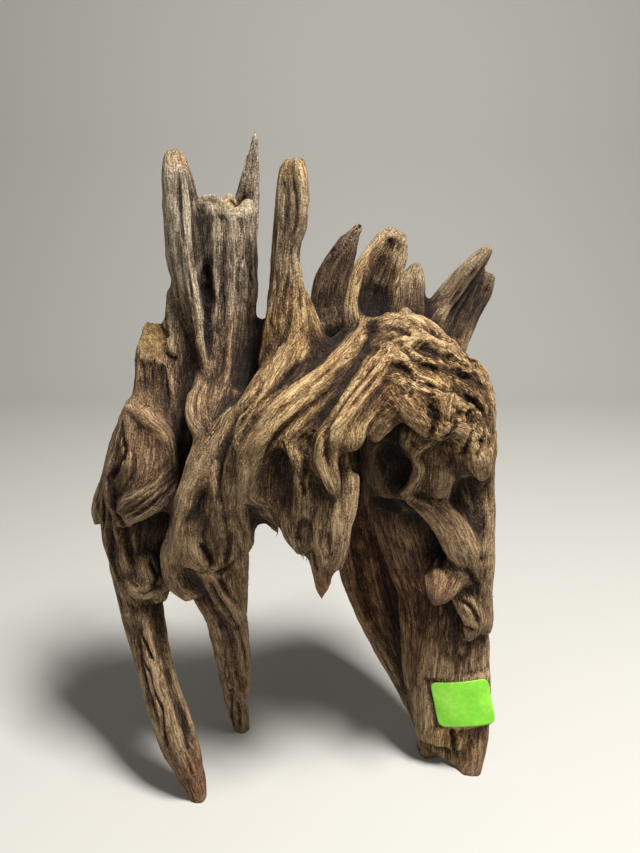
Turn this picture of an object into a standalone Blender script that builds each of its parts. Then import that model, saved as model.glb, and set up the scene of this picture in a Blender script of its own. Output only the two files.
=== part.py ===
"""A weathered root trunk that stands on three of its own roots, with a paper lot label stuck to one leg.

The trunk grew as one piece of wood, so it is one solid. It is built the way it grew: each root is a
profile carried along a path, and the roots are fused into one skin. All sizes below are in millimetres,
in the object's own frame: +X to the viewer's right, +Y away from the viewer, +Z up, floor at zero.
"""

import math

import bmesh
import bpy
import numpy as np
from mathutils import Matrix, Vector

MM = 0.001

# Fineness of the skin
VOXEL = 2.0
TRIANGLES = 11800
RING_SIDES = 28
RING_STEP = 3.0

# Each of the two softenings: its rounds, and how far of the way a point goes out of a crease or into a crest
SOFTEN_ROUNDS = 2
OUT_OF_CREASE = 0.6
INTO_CREST = (0.25, 0.3)

# The sawn end of the short stub on the left: a point on the cut, the way it faces, its reach, and how
# near to the cut the fused skin is pressed flat again
SAWN_POINT = (-79, 3, 295)
SAWN_FACING = (0.12, -0.77, 0.62)
SAWN_REACH = 17
SAWN_SNAP = 2

# The label: a small rectangle of coated paper with round corners, bent round the right leg
LABEL_WIDTH = 37.0
LABEL_HEIGHT = 33.0
LABEL_CORNER = 4.5
LABEL_THICKNESS = 0.7
LABEL_GAP = 0.35
LABEL_CENTRE = (106.3, -10.4, 58.5)
LABEL_TURN = 13.0
LABEL_FACING = -11.0
LABEL_LEAN = 3.0
LABEL_BEND = 70.0

# The bed under the label: its rim round the label, the fade outside that rim, and the most it moves the bark
BED_RIM = 2.5
BED_FADE = 5.0
BED_DEPTH = 9.0

WOOD_COLOUR = (0.30, 0.20, 0.12)
PAPER_COLOUR = (0.06, 0.78, 0.02)


class Root:
    """One root: its points (x, y, z, half width), how flat it is, the furrows along it, and if it is sawn."""

    def __init__(self, name, *points, flat=0.9, broad=(1, 0, 0), lobes=3, furrow=0.10, turn=0.15, sawn=False):
        self.name = name
        self.points = np.array(points, float)
        self.flat = flat
        self.broad = np.array(broad, float)
        self.lobes = lobes
        self.furrow = furrow
        self.turn = turn
        self.sawn = sawn


# The broken crown: hollow stump on the left, lone horn in the middle, blades behind the hood
CROWN = [
    Root("stump_left_prong", (-63, 5, 394, 4), (-62, 5, 386, 8), (-61, 5, 374, 10), (-60, 5, 358, 11),
         (-59, 5, 338, 11.5), (-56, 4, 316, 10.5), (-51, 0, 294, 9.5), (-48, -7, 275, 9.5),
         (-47, -13, 258, 9), flat=0.8, furrow=0.12),
    Root("stump_right_prong", (-28, 4, 370, 7), (-29, 4, 362, 9.5), (-29, 4, 345, 10.5),
         (-30, 4, 326, 11), (-32, 3, 304, 11), (-34, 0, 282, 12), (-36, -6, 262, 12.5),
         (-38, -14, 244, 11), flat=0.8, lobes=4, furrow=0.03),
    Root("stump_web", (-45, 6, 364, 9), (-45, 5.5, 350, 10), (-46, 6, 320, 11), (-44, 3, 290, 12),
         (-42, -1, 262, 12), flat=0.45, furrow=0.05),
    Root("stump_slab", (-34, 5, 369, 11), (-34, 4, 350, 13.5), (-35, 4, 326, 14), (-36, 1, 304, 14),
         (-38, -3, 282, 13.5), (-40, -8, 264, 12), flat=0.6, furrow=0.02, lobes=4),
    Root("stump_back_spike", (-20.5, 22, 405, 1.5), (-21.5, 22, 397, 3.2), (-23, 22, 388, 4.8),
         (-24.7, 22, 378, 6.4), (-26.6, 22, 366, 8.2), (-30, 21, 350, 10), (-33, 20, 325, 12),
         (-36, 18, 290, 13), flat=0.45, furrow=0.02),
    Root("stump_back_wall", (-48, 29, 372, 6), (-48, 29, 358, 10), (-50, 27, 330, 13), (-54, 23, 300, 15),
         (-58, 18, 268, 15), flat=0.45),
    Root("stump_left_flank", (-65, 20, 345, 5), (-65, 20, 325, 8), (-65, 19, 300, 9), (-64, 18, 270, 9),
         (-62, 14, 240, 10), flat=0.8, broad=(0, 1, 0)),
    Root("stump_flank_low", (-64, 10, 322, 8), (-65, 7, 300, 9), (-65, 1, 276, 10.5), (-64, -5, 252, 11),
         (-64, -8, 226, 10.5), (-64, -9, 200, 10), flat=0.85),
    Root("horn_dark_edge", (-4, -8, 386, 4), (-5, -8, 372, 6), (-6.5, -8, 348, 6.5), (-9, -8, 322, 7),
         (-11, -8, 298, 8.5), (-12, -8, 275, 11), flat=0.7, broad=(0.6, -1, 0)),
    Root("horn_ridge", (3, -15, 389, 4), (4.5, -15, 376, 6.5), (4, -15, 361, 6.5), (-1, -15, 345, 4.5),
         (-0.5, -15, 332, 6.5), (-1, -15, 316, 9.5), (-2, -16, 300, 12), (-1, -18, 286, 15),
         (-4, -18, 268, 17), flat=0.75),
    Root("horn_face", (0, -11, 388, 4), (-1, -11, 374, 7), (-2, -12, 352, 7), (-4, -12, 326, 8.5),
         (-5, -13, 302, 12), (-5, -16, 284, 15), flat=0.75, furrow=0.03),
    Root("horn_saddle", (2, -14, 297, 8), (8, -13, 290, 7.5), (15, -11, 286, 7.5), (23, -7, 288, 7),
         (28, -1, 297, 6), flat=0.8),
    Root("horn_flare", (3, -11, 320, 6), (7, -11, 305, 8.5), (12, -10, 292, 9.5), (18, -8, 282, 10),
         flat=0.8),
    Root("back_blade", (38.5, 40, 356, 3), (33, 40, 348, 6), (27.5, 40, 337, 9.5), (21.5, 40, 322, 12),
         (19, 40, 306, 13), (18, 38, 288, 14), (16, 34, 258, 16), flat=0.4, broad=(1, 0, 0.3)),
    Root("scoop_blade", (58, 13, 353, 6), (54, 11, 346, 11.5), (48, 10, 332, 15), (43, 9, 314, 16.5),
         (41, 10, 292, 17), (42, 10, 268, 18), flat=0.38, broad=(1, 0.15, -0.3)),
    Root("scoop_edge", (56, 9, 351, 3.5), (45, 9, 344, 5), (36.5, 8, 332, 5.5), (32, 4, 317, 5.5),
         (33, -1, 303, 7), (36, -4, 290, 9), flat=0.8),
    Root("crown_stub", (72, 38, 334, 3), (70, 37, 326, 7), (69, 35, 312, 9), (67, 32, 295, 11),
         (64, 28, 275, 14), flat=0.7, lobes=5, furrow=0.18),
    Root("crown_stub_side", (63, 36, 328, 3), (61.5, 35, 320, 7), (61, 33, 303, 9.5), (60, 30, 282, 12),
         flat=0.7, lobes=5, furrow=0.18),
    Root("right_horn_upper", (115.5, 44, 342, 3.5), (108, 44, 333, 6), (99, 44, 322, 8), (90, 43, 309, 9),
         (80, 40, 294, 12), (72, 36, 276, 14), flat=0.8, broad=(0.6, 0, -0.8)),
    Root("right_horn_lower", (117, 50, 326, 5), (112, 50, 316, 10), (104, 49, 303, 12), (97, 46, 288, 13),
         (90, 42, 268, 14), flat=0.7, broad=(0.8, 0, -0.6)),
    Root("right_horn_web", (108, 46, 325, 7), (102, 46, 313, 11), (95, 45, 300, 13), (87, 43, 286, 15),
         (79, 38, 270, 16), flat=0.45, broad=(0.7, 0, -0.7)),
]

# The left side: a short sawn stub that swells into a folded belly above the front leg
LEFT_SIDE = [
    Root("stub", (-79, 3, 316, 9), (-79, 3, 306, 9.5), (-79, 3, 294, 10), (-81, 3, 282, 10),
         (-82, 2, 268, 11), (-83, 0, 254, 12.5), (-85, -2, 240, 14), (-88, -2, 222, 14),
         (-91, -1, 200, 13), (-94, 0, 176, 13), (-97, -1, 152, 13), (-96, -5, 132, 13), flat=0.85,
         lobes=4, sawn=True),
    Root("stub_shoulder", (-70, 8, 293, 4), (-70, 8, 284, 6.5), (-70, 8, 276, 7.5), (-72, 8, 268, 8),
         (-77, 7, 250, 10), (-80, 6, 230, 12), flat=0.8),
    Root("belly", (-82, -2, 266, 9), (-81, -8, 254, 13), (-81, -13, 241, 15.5), (-84, -15, 227, 16),
         (-91, -11, 212, 13), (-97, -7, 198, 9), flat=0.75, lobes=3, furrow=0.06),
    Root("belly_corner", (-92, -4, 262, 4), (-94, -10, 250, 6), (-97, -11, 236, 6), (-104, -11, 219, 6),
         (-106, -10, 205, 6), (-102, -11, 191, 5), flat=0.8, lobes=2),
    Root("belly_fold", (-103, -14, 188, 4), (-94, -20, 196, 5), (-83, -24, 203, 5.5),
         (-74, -24, 210, 5.5), (-69, -19, 219, 5.5), (-67, -13, 232, 5), flat=0.8, lobes=2),
    Root("belly_hem", (-69, -12, 238, 5), (-72, -18, 226, 5), (-80, -22, 215, 5), (-90, -19, 207, 4.5),
         flat=0.8, lobes=2),
    Root("recess_back", (-85, 4, 214, 18), (-89, 6, 189, 17), (-92, 5, 165, 17), (-93, 0, 147, 16),
         flat=0.8),
    Root("recess_rib", (-106, -8, 190, 4), (-104, -9, 174, 4.5), (-102, -9, 160, 5), (-99, -8, 143, 6),
         (-97, -9, 125, 7), flat=0.8, lobes=2),
    Root("recess_knot", (-94, -2, 172, 6), (-91, -8, 158, 7.5), (-86, -11, 147, 8), (-84, -10, 136, 7),
         flat=0.85),
    Root("left_slab", (-101, 14, 250, 4), (-107, 14, 231, 6.5), (-114, 13, 208, 8), (-121, 12, 190, 7.5),
         (-124, 12, 176, 4), flat=0.6, broad=(0.7, 0.7, 0)),
    Root("left_outer", (-96, 10, 250, 6), (-100, 6, 232, 8), (-106, 6, 214, 9), (-111, 5, 192, 8.5),
         (-111, 4, 168, 8.5), (-109, 2, 148, 8), (-105, -3, 128, 7.5), (-100, -9, 104, 6.5),
         (-94, -16, 78, 5), (-84, -23, 52, 4), flat=0.8),
    Root("front_leg", (-97, -2, 150, 13), (-96, -5, 132, 13), (-92.5, -10, 107, 12.5),
         (-87, -17, 76, 13.5), (-78, -23, 44, 14), (-69, -27, 16, 9.5), (-64, -29, -2, 6), flat=0.72,
         lobes=3, furrow=0.16),
]

# The middle: broad sheets that sweep down to the left from the crown, and torn tongues below them
MIDDLE = [
    Root("scoop_sweep", (37, 0, 297, 10), (29, -13, 290, 11), (19, -28, 282, 12), (9, -39, 274, 13),
         (-1, -46, 267, 13), (-10, -50, 258, 12), (-16, -51, 248, 10), (-20, -51, 238, 7.5),
         (-21, -49, 226, 5), flat=0.6, broad=(0.6, 0.2, 0.8)),
    Root("horn_sweep", (-1, -18, 292, 13), (-7, -24, 282, 14), (-15, -30, 271, 14), (-23, -35, 260, 13),
         (-30, -38, 248, 12), (-35, -39, 235, 10), (-39, -38, 220, 9), (-42, -34, 200, 9),
         (-44, -27, 178, 9.5), (-44, -18, 155, 10), flat=0.7, broad=(0.7, 0, 0.7)),
    Root("centre_fill", (14, -12, 276, 15), (2, -20, 264, 17), (-12, -26, 250, 18), (-26, -24, 232, 17),
         (-36, -20, 210, 14), flat=0.8),
    Root("stump_strand", (-36, -14, 268, 11), (-39, -22, 258, 11), (-45, -31, 244, 10),
         (-52, -35, 231, 8.5), (-57, -35, 218, 8), (-61, -32, 202, 8.5), (-64, -28, 184, 10),
         (-64, -20, 165, 11), (-58, -12, 146, 9), flat=0.85),
    Root("stump_knot", (-48, -10, 274, 8), (-51, -20, 264, 8), (-52, -26, 255, 7), (-49, -28, 248, 5),
         flat=0.85),
    Root("knee_curl", (-66, -22, 190, 7), (-71, -25, 179, 7.5), (-72, -25, 168, 7.5),
         (-70, -22, 155, 8.5), (-63, -15, 144, 8.5), flat=0.85),
    Root("knee_bulk", (-54, -18, 206, 13), (-58, -17, 187, 14.5), (-58, -15, 167, 15), (-52, -8, 148, 12),
         flat=0.85),
    Root("knee_ridge", (-57, -30, 186, 5), (-52, -29, 171, 6), (-48, -25, 157, 5.5), (-44, -17, 140, 6),
         (-38, -7, 120, 5.5), (-36, 4, 95, 5), (-37, 17, 62, 4.5), flat=0.8, lobes=2),
    Root("knee_web", (-40, -16, 170, 10.5), (-41, -9, 145, 10), (-41, 0, 118, 9.5), (-42, 10, 90, 7),
         flat=0.7),
    Root("inner_strand", (-25, -38, 244, 8), (-28, -36, 228, 7), (-28, -32, 210, 6.5), (-31, -26, 185, 6),
         (-33, -20, 160, 6), (-35, -11, 135, 5.5), (-37, 0, 105, 5.5), (-37, 14, 74, 5), (-38, 24, 40, 4),
         flat=0.85, lobes=2),
    Root("curtain_back", (-4, -38, 256, 15), (-9, -42, 240, 15), (-11, -41, 222, 14), (-8, -37, 206, 10),
         (-4, -32, 196, 5), flat=0.5),
    Root("curtain_hem", (-10, -50, 254, 5), (-18, -51, 248, 5), (-24, -51, 239, 4.5),
         (-25, -49, 228, 4.5), (-21, -46, 219, 4.5), (-14, -41, 214, 4), flat=0.8, lobes=2),
    Root("curtain_edge", (-3, -49, 258, 5), (2, -51, 249, 5), (4, -51, 237, 5), (5, -49, 223, 5),
         (5, -46, 210, 5), flat=0.85, lobes=2),
    Root("curtain_fold", (4, -46, 240, 6), (2, -44, 225, 8), (0, -42, 212, 9), (0, -42, 200, 8),
         (2, -42, 190, 5), (3, -42, 182, 1.5), flat=0.6, lobes=4),
    Root("tongue", (19, -35, 244, 11), (18, -38, 230, 12), (17, -40, 215, 12.5), (16.5, -41, 198, 11.5),
         (16, -40, 182, 9.5), (15.5, -39, 168, 6.5), (15, -38, 158, 3.5), (15, -38, 152.5, 1), flat=0.6,
         lobes=4, furrow=0.06),
    Root("tongue_curl", (31, -38, 230, 5.5), (31, -41, 216, 5), (28, -43, 204, 4.5), (26, -43, 190, 4.5),
         (24, -41, 174, 3), flat=0.8, lobes=2),
    Root("tongue_back", (14, -24, 250, 15), (16, -24, 226, 13), (16, -26, 206, 9), flat=0.6),
    Root("tooth", (-21, -36, 232, 7), (-24, -34, 217, 6.5), (-25, -32, 203, 5.5), (-25, -31, 191, 4),
         (-24, -30, 181, 1), flat=0.7),
    Root("small_tooth", (-15, -32, 222, 8), (-15, -28, 206, 6.5), (-12, -25, 194, 4), (-9, -24, 187, 1),
         flat=0.7),
    Root("hood_strand", (51, -24, 291, 10), (44, -31, 286, 10.5), (36, -39, 278, 11),
         (28, -46, 269, 10.5), (21, -50, 260, 9.5), (17, -53, 252, 8), (17, -53, 243, 6.5),
         (20, -52, 232, 5), (22.5, -51, 222, 2), flat=0.7, broad=(0.7, 0, 0.7), lobes=3),
    Root("hood_groove_fill", (41, -12, 293, 7), (31, -29, 281, 8.5), (21, -41, 268, 8.5),
         (13, -46, 255, 7), (11, -46, 242, 5), flat=0.8),
    Root("boot_heel", (26, -46, 266, 9), (29, -50, 256, 8), (30, -50, 247, 4.5), flat=0.7),
]

# The right side: a wrinkled hood over a dark hollow, with knots and drips down its edge
RIGHT_SIDE = [
    Root("hood_crest", (42, -12, 288, 11), (50, -9, 295, 12), (61, -6, 298, 12.5), (78, -3, 289, 13.5),
         (92, -4, 275, 12.5), (99, -8, 260, 11), (103, -13, 246, 9.5), (105, -15, 231, 8),
         (106, -15, 216, 7), flat=0.85, broad=(0, 1, 0), lobes=4),
    Root("hood_peak", (46, -8, 300, 9), (54, -6, 303, 10), (59, -5, 308, 7), (60, -5, 313, 3), flat=0.9,
         lobes=5),
    Root("hood_peak_ridge", (58, -8, 305, 7), (66, -10, 303, 8), (74, -12, 297, 8), (82, -14, 289, 8),
         flat=0.8, lobes=4),
    Root("hood_upper_fold", (47, -20, 292, 6.5), (60, -20, 295, 6.5), (74, -19, 287, 7),
         (88, -18, 273, 7), (98, -18, 259, 7), (103, -20, 247, 5), flat=0.8, lobes=2),
    Root("hood_brow", (45, -27, 285, 11), (60, -29, 282, 12), (77, -29, 271, 12.5), (91, -24, 258, 11.5),
         (99, -20, 244, 9), (104, -19, 231, 6), flat=0.8, broad=(0, 0.7, 0.7), lobes=4),
    Root("hood_lower_fold", (56, -38, 281, 6), (70, -38, 276, 6.5), (84, -34, 266, 6.5),
         (95, -28, 254, 6), (102, -25, 241, 6), (104, -24, 230, 4), flat=0.8, lobes=2),
    Root("hood_lip", (45, -35, 281, 8), (52, -41, 276, 7.5), (59, -44, 270, 7), (67, -45, 262, 7),
         (75, -43, 256, 6.5), (83, -41, 257, 6.5), (91, -37, 251, 6.5), (98, -31, 240, 6.5),
         (102, -26, 228, 4), flat=0.8, lobes=3),
    Root("hood_fill", (48, -5, 280, 16), (66, -5, 278, 17), (84, -2, 266, 16), (96, 2, 246, 13),
         flat=0.9),
    Root("hood_dome", (45, -19, 284, 14), (60, -18, 288, 18), (78, -16, 279, 19), (91, -15, 265, 17),
         (100, -15, 249, 14), (103, -16, 235, 10), flat=0.58, broad=(0, -0.8, -0.6), furrow=0.05),
    Root("hood_lip_web", (54, -32, 278, 9), (66, -34, 270, 11), (79, -33, 262, 11.5), (91, -29, 254, 11),
         (99, -25, 243, 8), flat=0.7, broad=(0, -0.6, -0.8), furrow=0.05),
    Root("hood_mass", (70, -36, 268, 7), (77, -36, 261, 9), (84, -33, 254, 10), (92, -29, 247, 10),
         (99, -25, 238, 9), (103, -23, 229, 5), flat=0.8, lobes=5, furrow=0.12),
    Root("hood_bulb", (90, -33, 254, 7), (96, -33, 245, 9), (100, -31, 235, 9), (102, -29, 227, 6.5),
         (103, -27, 222, 3), flat=0.85, lobes=3),
    Root("hood_hang", (78, -32, 262, 9), (84, -31, 250, 11), (88, -27, 237, 11), (88, -22, 224, 9),
         flat=0.75, lobes=5, furrow=0.14),
    Root("hood_knob", (80, -42, 275, 4.5), (79, -44, 267, 5), (79, -43, 259, 3.5), flat=0.8),
    Root("hood_edge", (93, -8, 283, 9), (100, -12, 270, 9.5), (104, -16, 258, 8.5), (105, -19, 247, 7),
         (106, -20, 236, 7), (106, -18, 221, 6), flat=0.8, lobes=5, furrow=0.16),
    Root("hollow_roof_left", (49, -20, 264, 15), (51, -6, 240, 16), (56, 6, 212, 14), (66, 14, 190, 10),
         flat=0.8, lobes=5, furrow=0.16),
    Root("hollow_roof_right", (80, -16, 262, 15), (88, -4, 238, 16), (94, 0, 212, 13), (98, 4, 192, 10),
         flat=0.8, lobes=5, furrow=0.16),
    Root("hollow_lump", (73, -26, 267, 9.5), (66, -31, 255, 9), (63, -29, 245, 7.5), (65, -24, 236, 5),
         flat=0.85, lobes=4),
    Root("hollow_ridge", (80, -36, 258, 5), (73, -34, 249, 5), (67, -32, 240, 5), (69, -30, 231, 5),
         (67, -27, 220, 5), (62, -22, 210, 6), flat=0.8, lobes=2),
    Root("hollow_facet", (80, -25, 252, 11), (79, -24, 236, 13), (79, -20, 220, 13.5), (79, -16, 206, 11),
         flat=0.8, lobes=4),
    Root("cup_rim", (62, -18, 252, 6), (52, -18, 245, 6), (45, -14, 232, 5.5), (43, -6, 214, 6),
         (46, 4, 192, 6), flat=0.8, lobes=2),
    Root("cup_floor", (52, -9, 244, 16), (53, -8, 224, 17), (57, -4, 206, 15), flat=0.7, lobes=5,
         furrow=0.16),
    Root("hollow_wall", (66, -10, 266, 24), (70, -11, 242, 27), (74, -9, 216, 25), (78, -5, 196, 18),
         flat=0.36, lobes=5, furrow=0.08),
    Root("hollow_apron", (62, 2, 226, 20), (63, 8, 196, 23), (70, 14, 164, 24), (82, 17, 125, 22),
         (90, 15, 95, 16), flat=0.5, broad=(1, -0.75, 0), lobes=5, furrow=0.05),
    Root("knotted_strand", (60, -14, 210, 6), (72, -20, 206, 8), (83, -22, 199, 10.5),
         (91, -22, 187, 11.5), (97, -20, 174, 11), (102, -18, 163, 8.5), (106, -15, 152, 6.5), flat=0.7,
         lobes=3, furrow=0.14),
    Root("edge_column", (108, -8, 246, 9), (107, -12, 220, 8), (109, -13, 201, 7.5), (110, -14, 183, 7.5),
         (111, -14, 163, 8), (111, -13, 147, 8), (114, -10, 128, 7), (116, -6, 110, 6), flat=0.85,
         lobes=2),
    Root("pocket_wall", (86, 8, 240, 13), (92, 3, 204, 13), (97, 1, 180, 12), (98, 2, 160, 12),
         (97, 7, 140, 10), flat=0.6),
    Root("pocket_fill", (92, -12, 224, 12), (98, -11, 206, 12), (104, -9, 187, 10.5), (107, -7, 168, 8),
         flat=0.8, lobes=5, furrow=0.14),
    Root("nub", (108, 6, 152, 14), (96, -6, 155, 14), (89, -15, 155, 13.5), (85, -22, 151, 11),
         (82, -26, 145, 6), (81, -27, 142, 2), flat=0.8, lobes=5, furrow=0.12),
    Root("drip", (98, -6, 150, 8), (102, -12, 139, 9), (107, -15, 128, 8.5), (108, -14, 117, 6),
         (106, -12, 108, 2.5), flat=0.8, lobes=3, furrow=0.14),
]

# The right leg is the foot of a curved buttress that backs the hollow
BUTTRESS = [
    Root("leg_face", (94, 22, 196, 10), (98, 12, 170, 15), (100, 6, 140, 19.5), (100, 4, 110, 22.5),
         (99.5, 2, 80, 24.5), (98.5, 1.5, 52, 24.5), (98, 1, 32, 22), (98, 1, 19, 18), flat=0.42,
         broad=(1, -0.2, 0), lobes=3, furrow=0.03),
    Root("leg_turn", (74, 32, 190, 14), (78, 26, 160, 16), (80, 20, 130, 17), (82, 15, 100, 16.5),
         (83, 12, 70, 15), (85, 10, 45, 13), (88, 8, 22, 9), flat=0.7, broad=(1, -0.9, 0), furrow=0.04),
    Root("buttress_edge", (100, 22, 262, 9), (105, 18, 240, 12), (109, 12, 190, 11.5),
         (111, 9, 140, 11.5), (115, 5, 90, 11.5), (118, 1, 50, 11.5), (118, -3, 16, 9.5),
         (116, -6, -3, 7), flat=0.8, lobes=3),
    Root("buttress_outer", (86, 36, 288, 9), (94, 43, 270, 12), (99, 42, 238, 15), (101, 37, 190, 15),
         (102, 28, 140, 14), (106, 16, 90, 13), (107, 7, 45, 12), (106, 3, 12, 10), (105, 2, 2, 8),
         flat=0.75, lobes=4),
    Root("buttress_back", (103, 47, 302, 9), (94, 48, 284, 12), (87, 55, 258, 15), (85, 60, 225, 17),
         (84, 55, 180, 16), (85, 44, 130, 14), (90, 29, 85, 12), (95, 14, 40, 11), (95, 8, 14, 9),
         (95, 7, 6, 7), flat=0.75, lobes=4),
    Root("buttress_inner", (67, 33, 300, 9), (61, 46, 276, 13), (59, 60, 246, 15), (59, 66, 212, 16),
         (58, 62, 170, 15), (62, 53, 125, 14), (72, 39, 80, 12), (83, 24, 40, 11), (89, 12, 14, 8),
         (90, 10, -3, 7), flat=0.7, lobes=4),
    Root("buttress_rim", (20, 38, 300, 10), (24, 44, 276, 13), (30, 53, 244, 15), (32, 57, 205, 15),
         (32, 54, 165, 13.5), (37, 48, 125, 12), (47, 41, 96, 11), (61, 33, 69, 9.5), (76, 25, 41, 8),
         (86, 17, 14, 6), (87, 16, -3, 6), flat=0.7),
    Root("buttress_sheet", (58, 44, 280, 24), (59, 54, 246, 29), (59, 57, 205, 29), (59, 51, 165, 27),
         (66, 42, 125, 24), (77, 32, 80, 18), (88, 19, 42, 12), (93, 9, 12, 8), flat=0.33, furrow=0.04,
         lobes=5),
]

# The back: roots that run from the crown to the rear leg, to the buttress and over the arch
BACK = [
    Root("rear_leg", (-58, -8, 150, 12), (-52, -2, 128, 13), (-49, 4, 112, 12.5), (-48, 12, 90, 11.5),
         (-46.5, 22, 52, 10), (-44, 31, 12, 7.5), (-43, 34, -3, 6.5), flat=0.75, lobes=4, furrow=0.14),
    Root("back_left", (-54, 24, 316, 8), (-58, 28, 296, 12), (-66, 36, 254, 16), (-71, 39, 204, 15),
         (-66, 34, 152, 12), (-57, 24, 112, 9), (-50, 18, 76, 7), flat=0.8, lobes=4),
    Root("back_far_left", (-77, 12, 288, 6), (-84, 20, 268, 11), (-95, 29, 228, 15), (-101, 27, 184, 13),
         (-102, 14, 146, 11), (-98, 0, 112, 9), flat=0.8, lobes=4),
    Root("back_middle", (-34, 20, 300, 9), (-32, 26, 274, 13), (-33, 37, 242, 15), (-41, 42, 196, 13),
         (-50, 35, 154, 10.5), (-52, 22, 116, 8.5), flat=0.8, lobes=4),
    Root("back_over_arch", (0, 0, 300, 9), (6, 20, 282, 13), (7, 42, 250, 16), (14, 52, 206, 13),
         (24, 55, 168, 10), (34, 50, 136, 8), flat=0.75, lobes=4),
    Root("back_tongue", (-10, 34, 262, 12), (-15, 45, 226, 12), (-18, 47, 194, 9), (-19, 45, 168, 4),
         (-19, 44, 158, 2), flat=0.7),
    Root("back_cross", (42, 22, 304, 9), (48, 46, 276, 11), (62, 69, 236, 11), (76, 71, 190, 10.5),
         (88, 58, 145, 9.5), (97, 40, 100, 8.5), (102, 20, 58, 7), (103, 8, 24, 6), flat=0.8),
    Root("back_cross_low", (98, 52, 262, 8), (84, 69, 232, 9), (64, 77, 205, 9), (46, 70, 176, 8.5),
         (37, 60, 146, 7.5), (40, 52, 116, 6), flat=0.8, lobes=2),
    Root("back_sash", (-28, 38, 268, 8), (-44, 50, 246, 9.5), (-66, 55, 218, 9.5), (-87, 47, 192, 9),
         (-102, 30, 166, 8.5), (-106, 12, 138, 7.5), (-102, -2, 108, 6), flat=0.8),
    Root("back_hook", (-70, 46, 236, 8), (-80, 54, 208, 9), (-84, 54, 182, 8), (-82, 49, 160, 6),
         (-77, 45, 145, 3), flat=0.7),
    Root("back_thin", (-14, 30, 276, 7), (-26, 48, 248, 8), (-34, 57, 214, 7.5), (-42, 54, 178, 7),
         (-48, 44, 140, 6.5), (-47, 32, 98, 6), (-45, 29, 60, 5), flat=0.85, lobes=2),
    Root("core_left", (-92, 6, 214, 18), (-70, 8, 232, 22), (-46, 6, 244, 22), (-20, 6, 254, 22),
         flat=0.9),
    Root("core_right", (-20, 6, 254, 22), (6, 6, 264, 22), (34, 16, 272, 20), (66, 26, 276, 20),
         (88, 28, 272, 15), flat=0.9),
    Root("core_back", (-46, 22, 282, 13), (-52, 28, 246, 15), (-56, 28, 206, 14), (-56, 22, 160, 11),
         flat=0.8),
    Root("core_stub", (-76, 12, 262, 10), (-80, 16, 232, 14), (-86, 14, 196, 14), flat=0.8),
]

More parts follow.
